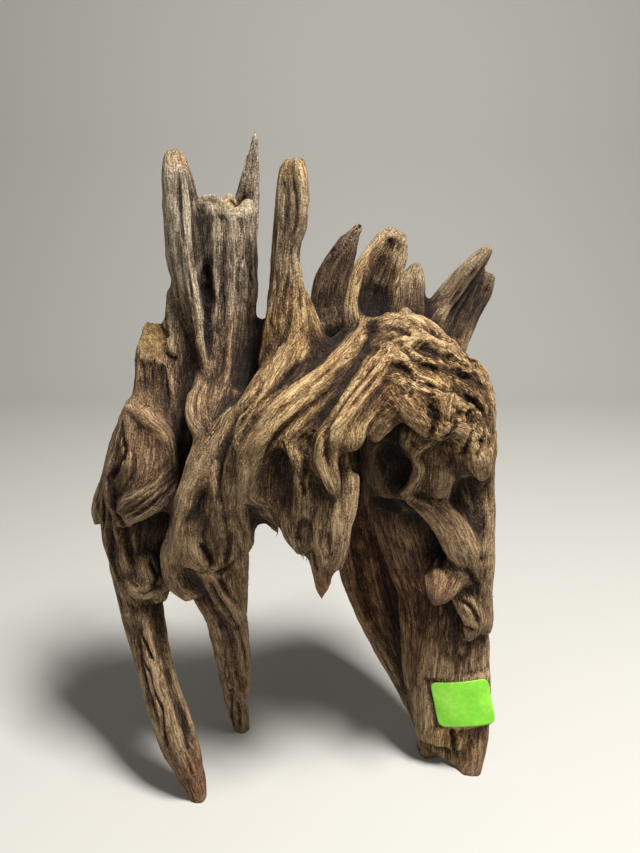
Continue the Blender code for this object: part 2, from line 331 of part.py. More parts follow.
# Narrow folds that stand out from the broad roots
FOLDS = [
    Root("fold_stump_knot_left", (-53, -22, 271, 3), (-54, -27, 262, 4.5), (-52, -31, 255, 4.5),
         (-47, -34, 250, 3.5)),
    Root("fold_stump_knot_right", (-46, -18, 274, 3), (-47, -26, 265, 4), (-46, -31, 258, 4),
         (-42, -36, 251, 3.5)),
    Root("fold_strand_outer", (-31, -34, 265, 3), (-39, -38, 251, 5), (-48, -40, 236, 5.5),
         (-57, -40, 220, 5.5), (-62, -38, 202, 5), (-65, -34, 184, 4), (-66, -29, 172, 3)),
    Root("fold_strand_inner", (-23, -41, 265, 3), (-33, -44, 251, 4.5), (-37, -44, 235, 5),
         (-39, -43, 217, 5), (-38, -39, 202, 5), (-38, -33, 186, 4), (-36, -28, 172, 3)),
    Root("fold_sheet_end", (-13, -54, 261, 4), (-22, -54, 248, 5), (-26, -52, 233, 5), (-29, -42, 213, 5),
         (-28, -34, 194, 4), (-28, -28, 178, 3)),
    Root("fold_knee_left", (-52, -36, 212, 4), (-56, -34, 195, 5.5), (-56, -33, 180, 5.5),
         (-50, -31, 168, 5), (-46, -26, 155, 4)),
    Root("fold_knee_knot", (-61, -31, 186, 4), (-57, -33, 176, 5), (-52, -33, 173, 4.5),
         (-49, -32, 178, 3)),
    Root("fold_knee_right", (-40, -31, 188, 4), (-38, -26, 168, 4.5), (-37, -20, 149, 4.5),
         (-37, -12, 128, 4), (-36, -2, 104, 3)),
    Root("fold_belly_brow", (-98, -9, 250, 4), (-90, -12, 257, 5), (-81, -17, 254, 5.5),
         (-72, -19, 247, 5), (-68, -20, 236, 4), (-67, -19, 226, 3)),
    Root("fold_belly_lower", (-104, -13, 196, 3), (-95, -21, 206, 4), (-85, -26, 212, 4.5),
         (-76, -25, 220, 4), (-71, -20, 230, 3)),
    Root("fold_outer", (-114, 2, 205, 3), (-116, 2, 190, 4), (-116, 0, 172, 4), (-112, -3, 156, 4),
         (-106, -8, 140, 4), (-103, -12, 124, 3)),
    Root("fold_leg_collar", (-101, -12, 148, 4), (-93, -15, 144, 5), (-84, -15, 147, 4.5),
         (-78, -10, 152, 4)),
    Root("fold_hood_1", (44, -18, 294, 3), (53, -15, 299, 4.5), (63, -11, 302, 5), (75, -13, 297, 5),
         (89, -8, 288, 4.5), (99, -12, 278, 4), (104, -15, 266, 3)),
    Root("fold_hood_2", (45, -27, 296, 3), (55, -30, 298, 4.5), (66, -23, 299, 5), (81, -21, 290, 5),
         (97, -17, 277, 4.5), (105, -18, 264, 4), (106, -20, 252, 3)),
    Root("fold_hood_3", (44, -33, 291, 3), (53, -37, 292, 4.5), (65, -34, 289, 4.5), (79, -32, 282, 4.5),
         (93, -27, 270, 4.5), (102, -24, 256, 4), (104, -23, 245, 3)),
    Root("fold_hood_4", (50, -41, 284, 3), (60, -42, 283, 4), (75, -42, 276, 4.5), (89, -37, 267, 4),
         (98, -31, 254, 4), (102, -27, 242, 3)),
    Root("fold_hood_hem", (56, -46, 274, 3.5), (64, -47, 267, 4), (70, -47, 260, 4.5),
         (77, -44, 254, 4.5), (82, -42, 257, 4), (88, -40, 253, 4.5), (95, -35, 246, 4.5),
         (98, -31, 236, 3)),
    Root("fold_scoop_top", (41, -2, 306, 4), (32, -21, 294, 5), (19, -37, 286, 5), (7, -47, 279, 5),
         (-4, -54, 270, 5), (-13, -57, 260, 4), (-20, -57, 249, 3)),
    Root("fold_scoop_low", (22, -40, 277, 3.5), (13, -46, 270, 4.5), (5, -51, 262, 4.5),
         (-1, -55, 254, 4), (1, -56, 243, 3)),
    Root("fold_horn_left", (3, -20, 306, 3), (-6, -30, 288, 5), (-13, -38, 277, 5), (-21, -43, 266, 5),
         (-28, -45, 254, 4), (-32, -45, 240, 3)),
    Root("fold_boot_lace", (50, -33, 295, 3.5), (43, -42, 285, 4), (34, -50, 276, 4.5),
         (26, -54, 267, 4.5), (17, -57, 257, 4.5), (14, -57, 247, 4), (17, -57, 236, 3.5),
         (21, -55, 225, 2.5)),
    Root("fold_boot_side", (57, -40, 284, 3.5), (47, -44, 277, 4), (40, -47, 268, 4), (34, -51, 260, 4),
         (33, -52, 251, 3)),
    Root("fold_tongue_left", (12, -44, 232, 3), (13, -46, 217, 4), (12, -45, 200, 4.5), (13, -44, 181, 4),
         (15, -40, 160, 3)),
    Root("fold_tongue_right", (22, -44, 230, 3), (22, -47, 215, 4), (21, -46, 197, 4.5),
         (18, -44, 178, 3)),
    Root("fold_stump_ridge", (-31, -3, 364, 2), (-31, -3, 350, 3), (-32, -4, 326, 3.5), (-34, -5, 303, 4),
         (-37, -12, 280, 5), (-42, -20, 264, 4)),
    Root("fold_prong_ridge", (-57, -3, 384, 2.5), (-56, -4, 362, 4), (-56, -4, 340, 4.5),
         (-53, -5, 316, 4.5), (-49, -9, 294, 4.5), (-46, -14, 278, 3.5)),
    Root("fold_leg_front", (-92, -16, 128, 4), (-89, -21, 105, 5), (-82, -27, 76, 5), (-73, -32, 44, 5),
         (-66, -32, 18, 3.5)),
    Root("fold_leg_side", (-100, -11, 120, 4), (-98, -16, 96, 4.5), (-92, -23, 70, 4.5),
         (-82, -29, 42, 4.5), (-73, -31, 20, 3.5)),
]

ROOTS = CROWN + LEFT_SIDE + MIDDLE + RIGHT_SIDE + BUTTRESS + BACK + FOLDS


def spline(points, step):
    """Points every step along the smooth curve that passes through the given ones."""
    padded = np.vstack([2 * points[0] - points[1], points, 2 * points[-1] - points[-2]])
    pieces = []
    for i in range(1, len(padded) - 2):
        before, start, end, after = padded[i - 1:i + 3]
        count = max(2, int(np.linalg.norm(end[:3] - start[:3]) / step))
        t = (np.arange(count) / count)[:, None]
        pieces.append(0.5 * (2 * start + (end - before) * t
                             + (2 * before - 5 * start + 4 * end - after) * t ** 2
                             + (3 * start - before - 3 * end + after) * t ** 3))
    return np.vstack(pieces + [points[-1:]])


def unit(vectors):
    return vectors / np.maximum(np.linalg.norm(vectors, axis=-1, keepdims=True), 1e-9)


def rings(root):
    """The root's surface as rings of points: an ellipse with lobes, carried along the path."""
    line = spline(root.points, RING_STEP)
    centre, width = line[:, :3], np.maximum(line[:, 3], 1.0)
    along = unit(np.gradient(centre, axis=0))
    side = unit(root.broad - (along @ root.broad)[:, None] * along)
    thin = np.cross(along, side)
    run = np.linspace(0, 1, len(line))[:, None]
    angle = np.linspace(0, 2 * math.pi, RING_SIDES, endpoint=False)[None, :]
    phase = root.lobes * (angle / 2 + math.pi * root.turn * run) + len(root.name)
    furrows = 1 - root.furrow * (1 - np.abs(np.cos(phase))) * 2
    across = width[:, None] * furrows * np.cos(angle)
    through = width[:, None] * root.flat * furrows * np.sin(angle)
    grid = centre[:, None] + across[..., None] * side[:, None] + through[..., None] * thin[:, None]
    if root.sawn:
        facing = unit(np.array(SAWN_FACING))
        grid[..., 2] -= np.maximum((grid - SAWN_POINT) @ facing, 0) / facing[2]
    return grid


def add_root(skin, root):
    """Joins the rings with quads and closes both ends."""
    loops = [[skin.verts.new(Vector(p) * MM) for p in ring] for ring in rings(root)]
    for lower, upper in zip(loops, loops[1:]):
        for i in range(RING_SIDES):
            j = (i + 1) % RING_SIDES
            skin.faces.new((lower[i], lower[j], upper[j], upper[i]))
    skin.faces.new(loops[0][::-1])
    skin.faces.new(loops[-1])


def with_modifier(mesh, kind, **settings):
    """The mesh after one modifier, as a new mesh."""
    holder = bpy.data.objects.new("holder", mesh)
    bpy.context.collection.objects.link(holder)
    modifier = holder.modifiers.new(kind, kind)
    for name, value in settings.items():
        setattr(modifier, name, value)
    graph = bpy.context.evaluated_depsgraph_get()
    result = bpy.data.meshes.new_from_object(holder.evaluated_get(graph))
    bpy.data.objects.remove(holder)
    bpy.data.meshes.remove(mesh)
    return result


def points_of(mesh):
    flat = np.empty(len(mesh.vertices) * 3, np.float32)
    mesh.vertices.foreach_get("co", flat)
    return flat.reshape(-1, 3).astype(float) / MM


def set_points(mesh, points):
    mesh.vertices.foreach_set("co", (points * MM).astype(np.float32).ravel())
    mesh.update()


def normals_of(mesh):
    flat = np.empty(len(mesh.vertices) * 3, np.float32)
    mesh.vertex_normals.foreach_get("vector", flat)
    return flat.reshape(-1, 3).astype(float)


def soften(mesh, inward):
    """Fills the creases where roots meet: a point moves to its neighbours, and outwards most easily."""
    edges = np.empty(len(mesh.edges) * 2, np.int32)
    mesh.edges.foreach_get("vertices", edges)
    a, b = edges.reshape(-1, 2).T
    count = np.bincount(np.concatenate([a, b]), minlength=len(mesh.vertices))[:, None]
    for _ in range(SOFTEN_ROUNDS):
        points, normals = points_of(mesh), normals_of(mesh)
        total = np.stack([np.bincount(a, points[b, k], len(points)) + np.bincount(b, points[a, k], len(points))
                          for k in range(3)], axis=1)
        step = total / count - points
        outward = (step * normals).sum(axis=1, keepdims=True)
        set_points(mesh, points + step * np.where(outward > 0, OUT_OF_CREASE, inward))


def flatten_sawn_end(mesh):
    """Presses the fused skin flat again on the oval where the stub was sawn off."""
    points = points_of(mesh)
    facing = unit(np.array(SAWN_FACING))
    height = (points - SAWN_POINT) @ facing
    aside = np.linalg.norm(points - SAWN_POINT - height[:, None] * facing, axis=1)
    on_cut = (aside < SAWN_REACH) & (np.abs(height) < SAWN_SNAP) & (normals_of(mesh) @ facing > 0.8)
    points[on_cut] -= height[on_cut, None] * facing
    set_points(mesh, points)


def label_frame():
    """Axes of the label: across its width, up its height, and the way it faces."""
    facing = Matrix.Rotation(math.radians(LABEL_FACING), 3, "Z")
    leaning = facing @ Matrix.Rotation(math.radians(-LABEL_LEAN), 3, "X")
    turned = leaning @ Matrix.Rotation(math.radians(-LABEL_TURN), 3, "Y")
    return [np.array(turned @ Vector(axis)) for axis in ((1, 0, 0), (0, 0, 1), (0, -1, 0))]


def label_sheet(across, up, lift):
    """Points of the label's bent sheet, a little above its middle surface."""
    right, top, front = label_frame()
    sideways = across * math.cos(math.radians(LABEL_TURN))
    bend = LABEL_BEND - np.sqrt(np.maximum(LABEL_BEND ** 2 - sideways ** 2, 0))
    return (np.array(LABEL_CENTRE) + across[..., None] * right + up[..., None] * top
            + (lift - bend)[..., None] * front)


def press_label_bed(mesh):
    """The bark under the label is worn to the label's own curve, so the paper lies against it."""
    points, normals = points_of(mesh), normals_of(mesh)
    right, top, front = label_frame()
    offset = points - LABEL_CENTRE
    across, up = offset @ right, offset @ top
    target = label_sheet(across, up, np.full(len(points), -LABEL_GAP))
    depth = (points - target) @ front
    inside = np.maximum(np.abs(across) - LABEL_WIDTH / 2, np.abs(up) - LABEL_HEIGHT / 2)
    weight = np.clip(1 - (inside - BED_RIM) / BED_FADE, 0, 1)
    weight = weight * weight * (3 - 2 * weight)
    weight[(np.abs(depth) > BED_DEPTH) | (normals @ front < 0.15)] = 0
    set_points(mesh, points - (weight * depth)[:, None] * front)


def material(name, colour, roughness):
    made = bpy.data.materials.new(name)
    made.use_nodes = True
    shader = made.node_tree.nodes["Principled BSDF"]
    shader.inputs["Base Color"].default_value = (*colour, 1.0)
    shader.inputs["Roughness"].default_value = roughness
    return made


def place(name, mesh, finish):
    mesh.materials.clear()
    mesh.materials.append(finish)
    made = bpy.data.objects.new(name, mesh)
    mesh.name = name
    bpy.context.collection.objects.link(made)
    return made


def make_trunk():
    skin = bmesh.new()
    for root in ROOTS:
        add_root(skin, root)
    bmesh.ops.recalc_face_normals(skin, faces=skin.faces)
    mesh = bpy.data.meshes.new("skin")
    skin.to_mesh(mesh)
    skin.free()
    for inward in INTO_CREST:
        mesh = with_modifier(mesh, "REMESH", mode="VOXEL", voxel_size=VOXEL * MM)
        soften(mesh, inward)
    flatten_sawn_end(mesh)
    press_label_bed(mesh)
    mesh = with_modifier(mesh, "TRIANGULATE")
    mesh = with_modifier(mesh, "DECIMATE", ratio=TRIANGLES / len(mesh.polygons))
    return stand_flat(mesh)


def stand_flat(mesh):
    """Cuts the feet off level with the floor."""
    cut = bmesh.new()
    cut.from_mesh(mesh)
    bmesh.ops.bisect_plane(cut, geom=cut.verts[:] + cut.edges[:] + cut.faces[:], dist=1e-6,
                           plane_co=(0, 0, 0), plane_no=(0, 0, 1), clear_inner=True)
    rim = [edge for edge in cut.edges if edge.is_boundary]
    bmesh.ops.holes_fill(cut, edges=rim, sides=0)
    bmesh.ops.triangulate(cut, faces=cut.faces)
    for vertex in cut.verts:
        if abs(vertex.co.z) < 1e-6:
            vertex.co.z = 0
    cut.to_mesh(mesh)
    cut.free()
    return mesh


def make_label():
    """A thin slab: the outline with round corners, filled in by strips, front and back."""
    columns = np.linspace(-LABEL_WIDTH / 2, LABEL_WIDTH / 2, 23)
    depth = np.maximum(np.abs(columns) - (LABEL_WIDTH / 2 - LABEL_CORNER), 0)
    reach = LABEL_HEIGHT / 2 - LABEL_CORNER + np.sqrt(np.maximum(LABEL_CORNER ** 2 - depth ** 2, 0.0))
    rows = np.linspace(-1, 1, 5)
    across = np.repeat(columns[:, None], len(rows), axis=1)
    up = reach[:, None] * rows[None, :]
    slab = bmesh.new()
    sheets = []
    for lift in (0.0, LABEL_THICKNESS):
        grid = label_sheet(across, up, np.full(across.shape, lift))
        sheets.append([[slab.verts.new(Vector(p) * MM) for p in column] for column in grid])
    back, front = sheets
    for grid, turn in ((front, 1), (back, -1)):
        for i in range(len(columns) - 1):
            for j in range(len(rows) - 1):
                slab.faces.new((grid[i][j], grid[i + 1][j], grid[i + 1][j + 1], grid[i][j + 1])[::turn])
    last = len(columns) - 1
    edge = ([(i, 0) for i in range(last)] + [(last, j) for j in range(len(rows) - 1)]
            + [(i, len(rows) - 1) for i in range(last, 0, -1)] + [(0, j) for j in range(len(rows) - 1, 0, -1)])
    for (i, j), (k, m) in zip(edge, edge[1:] + edge[:1]):
        slab.faces.new((back[i][j], back[k][m], front[k][m], front[i][j]))
    bmesh.ops.triangulate(slab, faces=slab.faces)
    mesh = bpy.data.meshes.new("lot_label")
    slab.to_mesh(mesh)
    slab.free()
    return mesh


for old in list(bpy.data.objects):
    bpy.data.objects.remove(old)
trunk_mesh, label_mesh = make_trunk(), make_label()
skin_points = points_of(trunk_mesh)
middle = (skin_points.min(axis=0) + skin_points.max(axis=0)) / 2 * (1, 1, 0)
for part_mesh in (trunk_mesh, label_mesh):
    set_points(part_mesh, points_of(part_mesh) - middle)
print("moved to stand round the origin, mm:", np.round(-middle, 2))
place("wood_trunk", trunk_mesh, material("weathered_wood", WOOD_COLOUR, 0.85))
place("lot_label", label_mesh, material("label_paper", PAPER_COLOUR, 0.55))
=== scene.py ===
"""Visual model of a weathered root trunk that stands on three legs, with a small paper label on one of them.

Sizes are in millimetres until a mesh is made. The roots are laid out as seen from the camera, and SHIFT
then moves every piece to stand round the model's origin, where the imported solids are.
"""

import math

import bmesh
import bpy
import numpy as np
from mathutils import Matrix, Vector


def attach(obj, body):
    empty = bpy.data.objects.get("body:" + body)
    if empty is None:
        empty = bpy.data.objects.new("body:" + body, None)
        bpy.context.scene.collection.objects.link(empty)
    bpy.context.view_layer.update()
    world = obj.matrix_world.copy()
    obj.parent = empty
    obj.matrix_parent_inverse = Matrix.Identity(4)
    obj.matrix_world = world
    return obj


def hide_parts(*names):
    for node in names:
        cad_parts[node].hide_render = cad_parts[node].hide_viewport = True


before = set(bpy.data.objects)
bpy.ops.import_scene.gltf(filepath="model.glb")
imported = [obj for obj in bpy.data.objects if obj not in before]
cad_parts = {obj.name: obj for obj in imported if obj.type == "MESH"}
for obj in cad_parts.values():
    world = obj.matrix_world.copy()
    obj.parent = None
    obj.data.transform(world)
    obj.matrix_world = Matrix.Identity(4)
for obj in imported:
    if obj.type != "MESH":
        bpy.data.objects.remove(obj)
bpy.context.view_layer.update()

# The trunk
# One piece of dry wood that grew as a knot of roots, with its crown broken off and its bark long gone.
# It is laid out as roots: tapering strands that follow smooth curves and have grown together.


class Root:
    """One root: its points (x, y, z, half width), how flat it is, the furrows along it, and if it is sawn."""

    def __init__(self, name, *points, flat=0.9, broad=(1, 0, 0), lobes=3, furrow=0.10, turn=0.15, sawn=False):
        self.name = name
        self.points = np.array(points, float)
        self.flat = flat
        self.broad = np.array(broad, float)
        self.lobes = lobes
        self.furrow = furrow
        self.turn = turn
        self.sawn = sawn

# The broken crown: hollow stump on the left, lone horn in the middle, blades behind the hood
CROWN = [
    Root("stump_left_prong", (-63, 5, 394, 4), (-62, 5, 386, 8), (-61, 5, 374, 10), (-60, 5, 358, 11),
         (-59, 5, 338, 11.5), (-56, 4, 316, 10.5), (-51, 0, 294, 9.5), (-48, -7, 275, 9.5),
         (-47, -13, 258, 9), flat=0.8, furrow=0.12),
    Root("stump_right_prong", (-28, 4, 370, 7), (-29, 4, 362, 9.5), (-29, 4, 345, 10.5),
         (-30, 4, 326, 11), (-32, 3, 304, 11), (-34, 0, 282, 12), (-36, -6, 262, 12.5),
         (-38, -14, 244, 11), flat=0.8, lobes=4, furrow=0.03),
    Root("stump_web", (-45, 6, 364, 9), (-45, 5.5, 350, 10), (-46, 6, 320, 11), (-44, 3, 290, 12),
         (-42, -1, 262, 12), flat=0.45, furrow=0.05),
    Root("stump_slab", (-34, 5, 369, 11), (-34, 4, 350, 13.5), (-35, 4, 326, 14), (-36, 1, 304, 14),
         (-38, -3, 282, 13.5), (-40, -8, 264, 12), flat=0.6, furrow=0.02, lobes=4),
    Root("stump_back_spike", (-20.5, 22, 405, 1.5), (-21.5, 22, 397, 3.2), (-23, 22, 388, 4.8),
         (-24.7, 22, 378, 6.4), (-26.6, 22, 366, 8.2), (-30, 21, 350, 10), (-33, 20, 325, 12),
         (-36, 18, 290, 13), flat=0.45, furrow=0.02),
    Root("stump_back_wall", (-48, 29, 372, 6), (-48, 29, 358, 10), (-50, 27, 330, 13), (-54, 23, 300, 15),
         (-58, 18, 268, 15), flat=0.45),
    Root("stump_left_flank", (-65, 20, 345, 5), (-65, 20, 325, 8), (-65, 19, 300, 9), (-64, 18, 270, 9),
         (-62, 14, 240, 10), flat=0.8, broad=(0, 1, 0)),
    Root("stump_flank_low", (-64, 10, 322, 8), (-65, 7, 300, 9), (-65, 1, 276, 10.5), (-64, -5, 252, 11),
         (-64, -8, 226, 10.5), (-64, -9, 200, 10), flat=0.85),
    Root("horn_dark_edge", (-4, -8, 386, 4), (-5, -8, 372, 6), (-6.5, -8, 348, 6.5), (-9, -8, 322, 7),
         (-11, -8, 298, 8.5), (-12, -8, 275, 11), flat=0.7, broad=(0.6, -1, 0)),
    Root("horn_ridge", (3, -15, 389, 4), (4.5, -15, 376, 6.5), (4, -15, 361, 6.5), (-1, -15, 345, 4.5),
         (-0.5, -15, 332, 6.5), (-1, -15, 316, 9.5), (-2, -16, 300, 12), (-1, -18, 286, 15),
         (-4, -18, 268, 17), flat=0.75),
    Root("horn_face", (0, -11, 388, 4), (-1, -11, 374, 7), (-2, -12, 352, 7), (-4, -12, 326, 8.5),
         (-5, -13, 302, 12), (-5, -16, 284, 15), flat=0.75, furrow=0.03),
    Root("horn_saddle", (2, -14, 297, 8), (8, -13, 290, 7.5), (15, -11, 286, 7.5), (23, -7, 288, 7),
         (28, -1, 297, 6), flat=0.8),
    Root("horn_flare", (3, -11, 320, 6), (7, -11, 305, 8.5), (12, -10, 292, 9.5), (18, -8, 282, 10),
         flat=0.8),
    Root("back_blade", (38.5, 40, 356, 3), (33, 40, 348, 6), (27.5, 40, 337, 9.5), (21.5, 40, 322, 12),
         (19, 40, 306, 13), (18, 38, 288, 14), (16, 34, 258, 16), flat=0.4, broad=(1, 0, 0.3)),
    Root("scoop_blade", (58, 13, 353, 6), (54, 11, 346, 11.5), (48, 10, 332, 15), (43, 9, 314, 16.5),
         (41, 10, 292, 17), (42, 10, 268, 18), flat=0.38, broad=(1, 0.15, -0.3)),
    Root("scoop_edge", (56, 9, 351, 3.5), (45, 9, 344, 5), (36.5, 8, 332, 5.5), (32, 4, 317, 5.5),
         (33, -1, 303, 7), (36, -4, 290, 9), flat=0.8),
    Root("crown_stub", (72, 38, 334, 3), (70, 37, 326, 7), (69, 35, 312, 9), (67, 32, 295, 11),
         (64, 28, 275, 14), flat=0.7, lobes=5, furrow=0.18),
    Root("crown_stub_side", (63, 36, 328, 3), (61.5, 35, 320, 7), (61, 33, 303, 9.5), (60, 30, 282, 12),
         flat=0.7, lobes=5, furrow=0.18),
    Root("right_horn_upper", (115.5, 44, 342, 3.5), (108, 44, 333, 6), (99, 44, 322, 8), (90, 43, 309, 9),
         (80, 40, 294, 12), (72, 36, 276, 14), flat=0.8, broad=(0.6, 0, -0.8)),
    Root("right_horn_lower", (117, 50, 326, 5), (112, 50, 316, 10), (104, 49, 303, 12), (97, 46, 288, 13),
         (90, 42, 268, 14), flat=0.7, broad=(0.8, 0, -0.6)),
    Root("right_horn_web", (108, 46, 325, 7), (102, 46, 313, 11), (95, 45, 300, 13), (87, 43, 286, 15),
         (79, 38, 270, 16), flat=0.45, broad=(0.7, 0, -0.7)),
]

# The left side: a short sawn stub that swells into a folded belly above the front leg
LEFT_SIDE = [
    Root("stub", (-79, 3, 316, 9), (-79, 3, 306, 9.5), (-79, 3, 294, 10), (-81, 3, 282, 10),
         (-82, 2, 268, 11), (-83, 0, 254, 12.5), (-85, -2, 240, 14), (-88, -2, 222, 14),
         (-91, -1, 200, 13), (-94, 0, 176, 13), (-97, -1, 152, 13), (-96, -5, 132, 13), flat=0.85,
         lobes=4, sawn=True),
    Root("stub_shoulder", (-70, 8, 293, 4), (-70, 8, 284, 6.5), (-70, 8, 276, 7.5), (-72, 8, 268, 8),
         (-77, 7, 250, 10), (-80, 6, 230, 12), flat=0.8),
    Root("belly", (-82, -2, 266, 9), (-81, -8, 254, 13), (-81, -13, 241, 15.5), (-84, -15, 227, 16),
         (-91, -11, 212, 13), (-97, -7, 198, 9), flat=0.75, lobes=3, furrow=0.06),
    Root("belly_corner", (-92, -4, 262, 4), (-94, -10, 250, 6), (-97, -11, 236, 6), (-104, -11, 219, 6),
         (-106, -10, 205, 6), (-102, -11, 191, 5), flat=0.8, lobes=2),
    Root("belly_fold", (-103, -14, 188, 4), (-94, -20, 196, 5), (-83, -24, 203, 5.5),
         (-74, -24, 210, 5.5), (-69, -19, 219, 5.5), (-67, -13, 232, 5), flat=0.8, lobes=2),
    Root("belly_hem", (-69, -12, 238, 5), (-72, -18, 226, 5), (-80, -22, 215, 5), (-90, -19, 207, 4.5),
         flat=0.8, lobes=2),
    Root("recess_back", (-85, 4, 214, 18), (-89, 6, 189, 17), (-92, 5, 165, 17), (-93, 0, 147, 16),
         flat=0.8),
    Root("recess_rib", (-106, -8, 190, 4), (-104, -9, 174, 4.5), (-102, -9, 160, 5), (-99, -8, 143, 6),
         (-97, -9, 125, 7), flat=0.8, lobes=2),
    Root("recess_knot", (-94, -2, 172, 6), (-91, -8, 158, 7.5), (-86, -11, 147, 8), (-84, -10, 136, 7),
         flat=0.85),
    Root("left_slab", (-101, 14, 250, 4), (-107, 14, 231, 6.5), (-114, 13, 208, 8), (-121, 12, 190, 7.5),
         (-124, 12, 176, 4), flat=0.6, broad=(0.7, 0.7, 0)),
    Root("left_outer", (-96, 10, 250, 6), (-100, 6, 232, 8), (-106, 6, 214, 9), (-111, 5, 192, 8.5),
         (-111, 4, 168, 8.5), (-109, 2, 148, 8), (-105, -3, 128, 7.5), (-100, -9, 104, 6.5),
         (-94, -16, 78, 5), (-84, -23, 52, 4), flat=0.8),
    Root("front_leg", (-97, -2, 150, 13), (-96, -5, 132, 13), (-92.5, -10, 107, 12.5),
         (-87, -17, 76, 13.5), (-78, -23, 44, 14), (-69, -27, 16, 9.5), (-64, -29, -2, 6), flat=0.72,
         lobes=3, furrow=0.16),
]

# The middle: broad sheets that sweep down to the left from the crown, and torn tongues below them
MIDDLE = [
    Root("scoop_sweep", (37, 0, 297, 10), (29, -13, 290, 11), (19, -28, 282, 12), (9, -39, 274, 13),
         (-1, -46, 267, 13), (-10, -50, 258, 12), (-16, -51, 248, 10), (-20, -51, 238, 7.5),
         (-21, -49, 226, 5), flat=0.6, broad=(0.6, 0.2, 0.8)),
    Root("horn_sweep", (-1, -18, 292, 13), (-7, -24, 282, 14), (-15, -30, 271, 14), (-23, -35, 260, 13),
         (-30, -38, 248, 12), (-35, -39, 235, 10), (-39, -38, 220, 9), (-42, -34, 200, 9),
         (-44, -27, 178, 9.5), (-44, -18, 155, 10), flat=0.7, broad=(0.7, 0, 0.7)),
    Root("centre_fill", (14, -12, 276, 15), (2, -20, 264, 17), (-12, -26, 250, 18), (-26, -24, 232, 17),
         (-36, -20, 210, 14), flat=0.8),
    Root("stump_strand", (-36, -14, 268, 11), (-39, -22, 258, 11), (-45, -31, 244, 10),
         (-52, -35, 231, 8.5), (-57, -35, 218, 8), (-61, -32, 202, 8.5), (-64, -28, 184, 10),
         (-64, -20, 165, 11), (-58, -12, 146, 9), flat=0.85),
    Root("stump_knot", (-48, -10, 274, 8), (-51, -20, 264, 8), (-52, -26, 255, 7), (-49, -28, 248, 5),
         flat=0.85),
    Root("knee_curl", (-66, -22, 190, 7), (-71, -25, 179, 7.5), (-72, -25, 168, 7.5),
         (-70, -22, 155, 8.5), (-63, -15, 144, 8.5), flat=0.85),
    Root("knee_bulk", (-54, -18, 206, 13), (-58, -17, 187, 14.5), (-58, -15, 167, 15), (-52, -8, 148, 12),
         flat=0.85),
    Root("knee_ridge", (-57, -30, 186, 5), (-52, -29, 171, 6), (-48, -25, 157, 5.5), (-44, -17, 140, 6),
         (-38, -7, 120, 5.5), (-36, 4, 95, 5), (-37, 17, 62, 4.5), flat=0.8, lobes=2),
    Root("knee_web", (-40, -16, 170, 10.5), (-41, -9, 145, 10), (-41, 0, 118, 9.5), (-42, 10, 90, 7),
         flat=0.7),
    Root("inner_strand", (-25, -38, 244, 8), (-28, -36, 228, 7), (-28, -32, 210, 6.5), (-31, -26, 185, 6),
         (-33, -20, 160, 6), (-35, -11, 135, 5.5), (-37, 0, 105, 5.5), (-37, 14, 74, 5), (-38, 24, 40, 4),
         flat=0.85, lobes=2),
    Root("curtain_back", (-4, -38, 256, 15), (-9, -42, 240, 15), (-11, -41, 222, 14), (-8, -37, 206, 10),
         (-4, -32, 196, 5), flat=0.5),
    Root("curtain_hem", (-10, -50, 254, 5), (-18, -51, 248, 5), (-24, -51, 239, 4.5),
         (-25, -49, 228, 4.5), (-21, -46, 219, 4.5), (-14, -41, 214, 4), flat=0.8, lobes=2),
    Root("curtain_edge", (-3, -49, 258, 5), (2, -51, 249, 5), (4, -51, 237, 5), (5, -49, 223, 5),
         (5, -46, 210, 5), flat=0.85, lobes=2),
    Root("curtain_fold", (4, -46, 240, 6), (2, -44, 225, 8), (0, -42, 212, 9), (0, -42, 200, 8),
         (2, -42, 190, 5), (3, -42, 182, 1.5), flat=0.6, lobes=4),
    Root("tongue", (19, -35, 244, 11), (18, -38, 230, 12), (17, -40, 215, 12.5), (16.5, -41, 198, 11.5),
         (16, -40, 182, 9.5), (15.5, -39, 168, 6.5), (15, -38, 158, 3.5), (15, -38, 152.5, 1), flat=0.6,
         lobes=4, furrow=0.06),
    Root("tongue_curl", (31, -38, 230, 5.5), (31, -41, 216, 5), (28, -43, 204, 4.5), (26, -43, 190, 4.5),
         (24, -41, 174, 3), flat=0.8, lobes=2),
    Root("tongue_back", (14, -24, 250, 15), (16, -24, 226, 13), (16, -26, 206, 9), flat=0.6),
    Root("tooth", (-21, -36, 232, 7), (-24, -34, 217, 6.5), (-25, -32, 203, 5.5), (-25, -31, 191, 4),
         (-24, -30, 181, 1), flat=0.7),
    Root("small_tooth", (-15, -32, 222, 8), (-15, -28, 206, 6.5), (-12, -25, 194, 4), (-9, -24, 187, 1),
         flat=0.7),
    Root("hood_strand", (51, -24, 291, 10), (44, -31, 286, 10.5), (36, -39, 278, 11),
         (28, -46, 269, 10.5), (21, -50, 260, 9.5), (17, -53, 252, 8), (17, -53, 243, 6.5),
         (20, -52, 232, 5), (22.5, -51, 222, 2), flat=0.7, broad=(0.7, 0, 0.7), lobes=3),
    Root("hood_groove_fill", (41, -12, 293, 7), (31, -29, 281, 8.5), (21, -41, 268, 8.5),
         (13, -46, 255, 7), (11, -46, 242, 5), flat=0.8),
    Root("boot_heel", (26, -46, 266, 9), (29, -50, 256, 8), (30, -50, 247, 4.5), flat=0.7),
]

